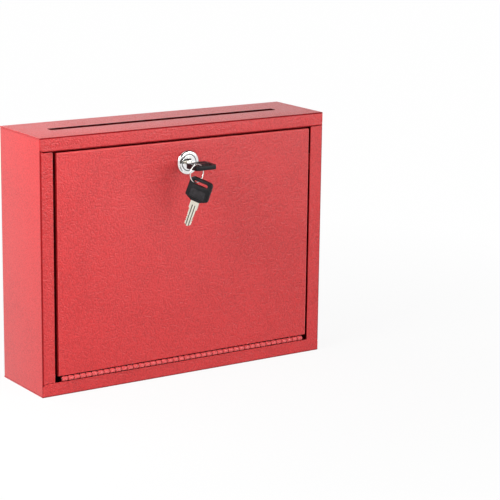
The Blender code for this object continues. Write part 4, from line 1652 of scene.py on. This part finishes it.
@dataclass
class Studio:
    """The pale floor, the white surround, the soft boxes and the camera."""

    lamps: tuple[Lamp, ...] = (
        Lamp("left_soft_box", (-0.54, -0.17, 0.53), (-0.155, 0.0, 0.18), (0.34, 0.34), 4.1),
        Lamp("front_soft_box", (0.75, -1.35, 0.60), (0.0, 0.0, 0.12), (1.0, 0.8), 13.2),
        Lamp("top_soft_box", (-0.10, 0.15, 1.10), (0.0, 0.0, 0.2), (0.9, 0.6), 2.6),
        Lamp("back_soft_box", (-0.70, 1.40, 1.00), (0.0, 0.0, 0.12), (1.2, 0.9), 8.0),
    )
    surround: float = 0.25
    ceiling: float = 0.04
    ceiling_edge: Pair = (0.30, 0.48)
    floor_glow: Pair = (0.92, 0.995)
    floor_fade: Pair = (0.25, 0.70)
    floor_size: float = 12.0
    floor_below: float = 0.0002
    floor_colour: Colour = (0.86, 0.86, 0.86)
    floor_roughness: float = 0.9
    camera_place: Corner = (-0.90937, -1.49953, 0.52325)
    right: Corner = (0.83170, -0.55508, 0.01279)
    down: Corner = (-0.11577, -0.19591, -0.97376)
    lens: float = 134.22
    sensor: float = 36.0

    def put(self, name: str, data: bpy.types.ID) -> Object:
        """Puts a mesh, light or camera in the scene as an object.

        Args:
            name: The object's name.
            data: Its mesh, light or camera.

        Returns:
            The object.
        """
        made = bpy.data.objects.new(name, data)
        bpy.context.scene.collection.objects.link(made)
        return made

    def white_for_viewer(self, graph: ShaderGraph, glow: Operand) -> Wire:
        """A share for the rays that show the background: camera, mirror and glass rays.

        Args:
            graph: The nodes that it is added to.
            glow: The share for those rays.

        Returns:
            The share, which is 0 for all other rays.
        """
        rays = graph.node("ShaderNodeLightPath", {}, {})
        names = ("Is Camera Ray", "Is Glossy Ray", "Is Transmission Ray")
        seen = [Wire(graph, rays.outputs[name]) for name in names]
        return seen[0].math("MAXIMUM", seen[1]).math("MAXIMUM", seen[2]) * glow

    def build_world(self) -> None:
        """A white surround that lights the box less than it shows, with a dark ceiling."""
        world = bpy.data.worlds.new("white surround")
        bpy.context.scene.world = world
        graph = ShaderGraph(world)
        shown = self.white_for_viewer(graph, 1.0)
        background = graph.tree.nodes["Background"]
        up = graph.parts(graph.wire("ShaderNodeTexCoord", {}, {}, "Generated"))[2]
        white, dark = (1.0, 1.0, 1.0), (self.ceiling,) * 3
        share = graph.spread(up, *self.ceiling_edge)
        graph.plug_in(background.inputs["Color"], graph.mix(white, dark, share))
        graph.plug_in(background.inputs["Strength"], shown * (1.0 - self.surround) + self.surround)

    def build_floor(self) -> None:
        """A pale floor that keeps a faint shadow."""
        shape = bmesh.new()
        bmesh.ops.create_grid(shape, x_segments=1, y_segments=1, size=self.floor_size / 2)
        mesh = bpy.data.meshes.new("pale_floor")
        shape.to_mesh(mesh)
        shape.free()
        floor = self.put("pale_floor", mesh)
        floor.location = (0.0, 0.0, -self.floor_below)
        graph = ShaderGraph(bpy.data.materials.new("pale floor"))
        graph.dress(base_color=self.floor_colour, roughness=self.floor_roughness)
        glow = graph.node("ShaderNodeEmission", {}, {"Color": (1.0, 1.0, 1.0), "Strength": 1.0})
        away = {0: graph.place()}
        reach = graph.wire("ShaderNodeVectorMath", {"operation": "LENGTH"}, away, "Value")
        share = graph.spread(reach, *self.floor_fade, *self.floor_glow)
        both = graph.node("ShaderNodeMixShader", {}, {0: self.white_for_viewer(graph, share)})
        graph.tree.links.new(graph.surface.outputs[0], both.inputs[1])
        graph.tree.links.new(glow.outputs[0], both.inputs[2])
        graph.tree.links.new(both.outputs[0], graph.tree.nodes["Material Output"].inputs[0])
        mesh.materials.append(graph.owner)

    def build_lamps(self) -> None:
        """Hangs the soft boxes."""
        for lamp in self.lamps:
            light = bpy.data.lights.new(lamp.name, "AREA")
            light.shape = "RECTANGLE"
            light.size, light.size_y = lamp.size
            light.energy = lamp.power
            made = self.put(lamp.name, light)
            made.location = lamp.place
            aim = Vector(lamp.target) - Vector(lamp.place)
            made.rotation_euler = aim.to_track_quat("-Z", "Y").to_euler()

    def build_camera(self) -> None:
        """Places the camera where the photograph was taken from."""
        camera = bpy.data.cameras.new("camera")
        camera.lens, camera.sensor_width = self.lens, self.sensor
        made = self.put("camera", camera)
        right, up = Vector(self.right).normalized(), -Vector(self.down).normalized()
        back = right.cross(up).normalized()
        up = back.cross(right)
        turn = Matrix((right, up, back)).transposed().to_4x4()
        made.matrix_world = Matrix.Translation(self.camera_place) @ turn
        bpy.context.scene.camera = made

    def build(self) -> None:
        """Sets up the studio."""
        bpy.context.scene.view_settings.view_transform = "Standard"
        self.build_world()
        self.build_floor()
        self.build_lamps()
        self.build_camera()


def main() -> None:
    """Builds the studio and then the box, from its sheets to its keys."""
    logging.basicConfig(level=logging.INFO, format="%(name)s: %(message)s", stream=sys.stdout)
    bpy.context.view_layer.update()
    Studio().build()
    bench = Workbench()
    palette = Palette.mixed()
    # The case's folds get painted shade and the door's folds a painted highlight; inner faces and
    # gaps get painted shade.
    sheet = SheetMetal(bench, palette.red, palette.fold, palette.inside, palette.gap)
    door_sheet = SheetMetal(bench, palette.red, palette.door_fold_highlight, palette.inside, palette.gap)
    lock = CamLock(bench)
    Cabinet(sheet).build(palette)
    Door(door_sheet).build(palette)
    PianoHinge(bench).build(palette)
    lock.build(palette)
    KeySet(bench, Key(bench), lock).build(palette)
    log.info("%d pieces dressed", bench.count)


if __name__ == "__main__":
    main()
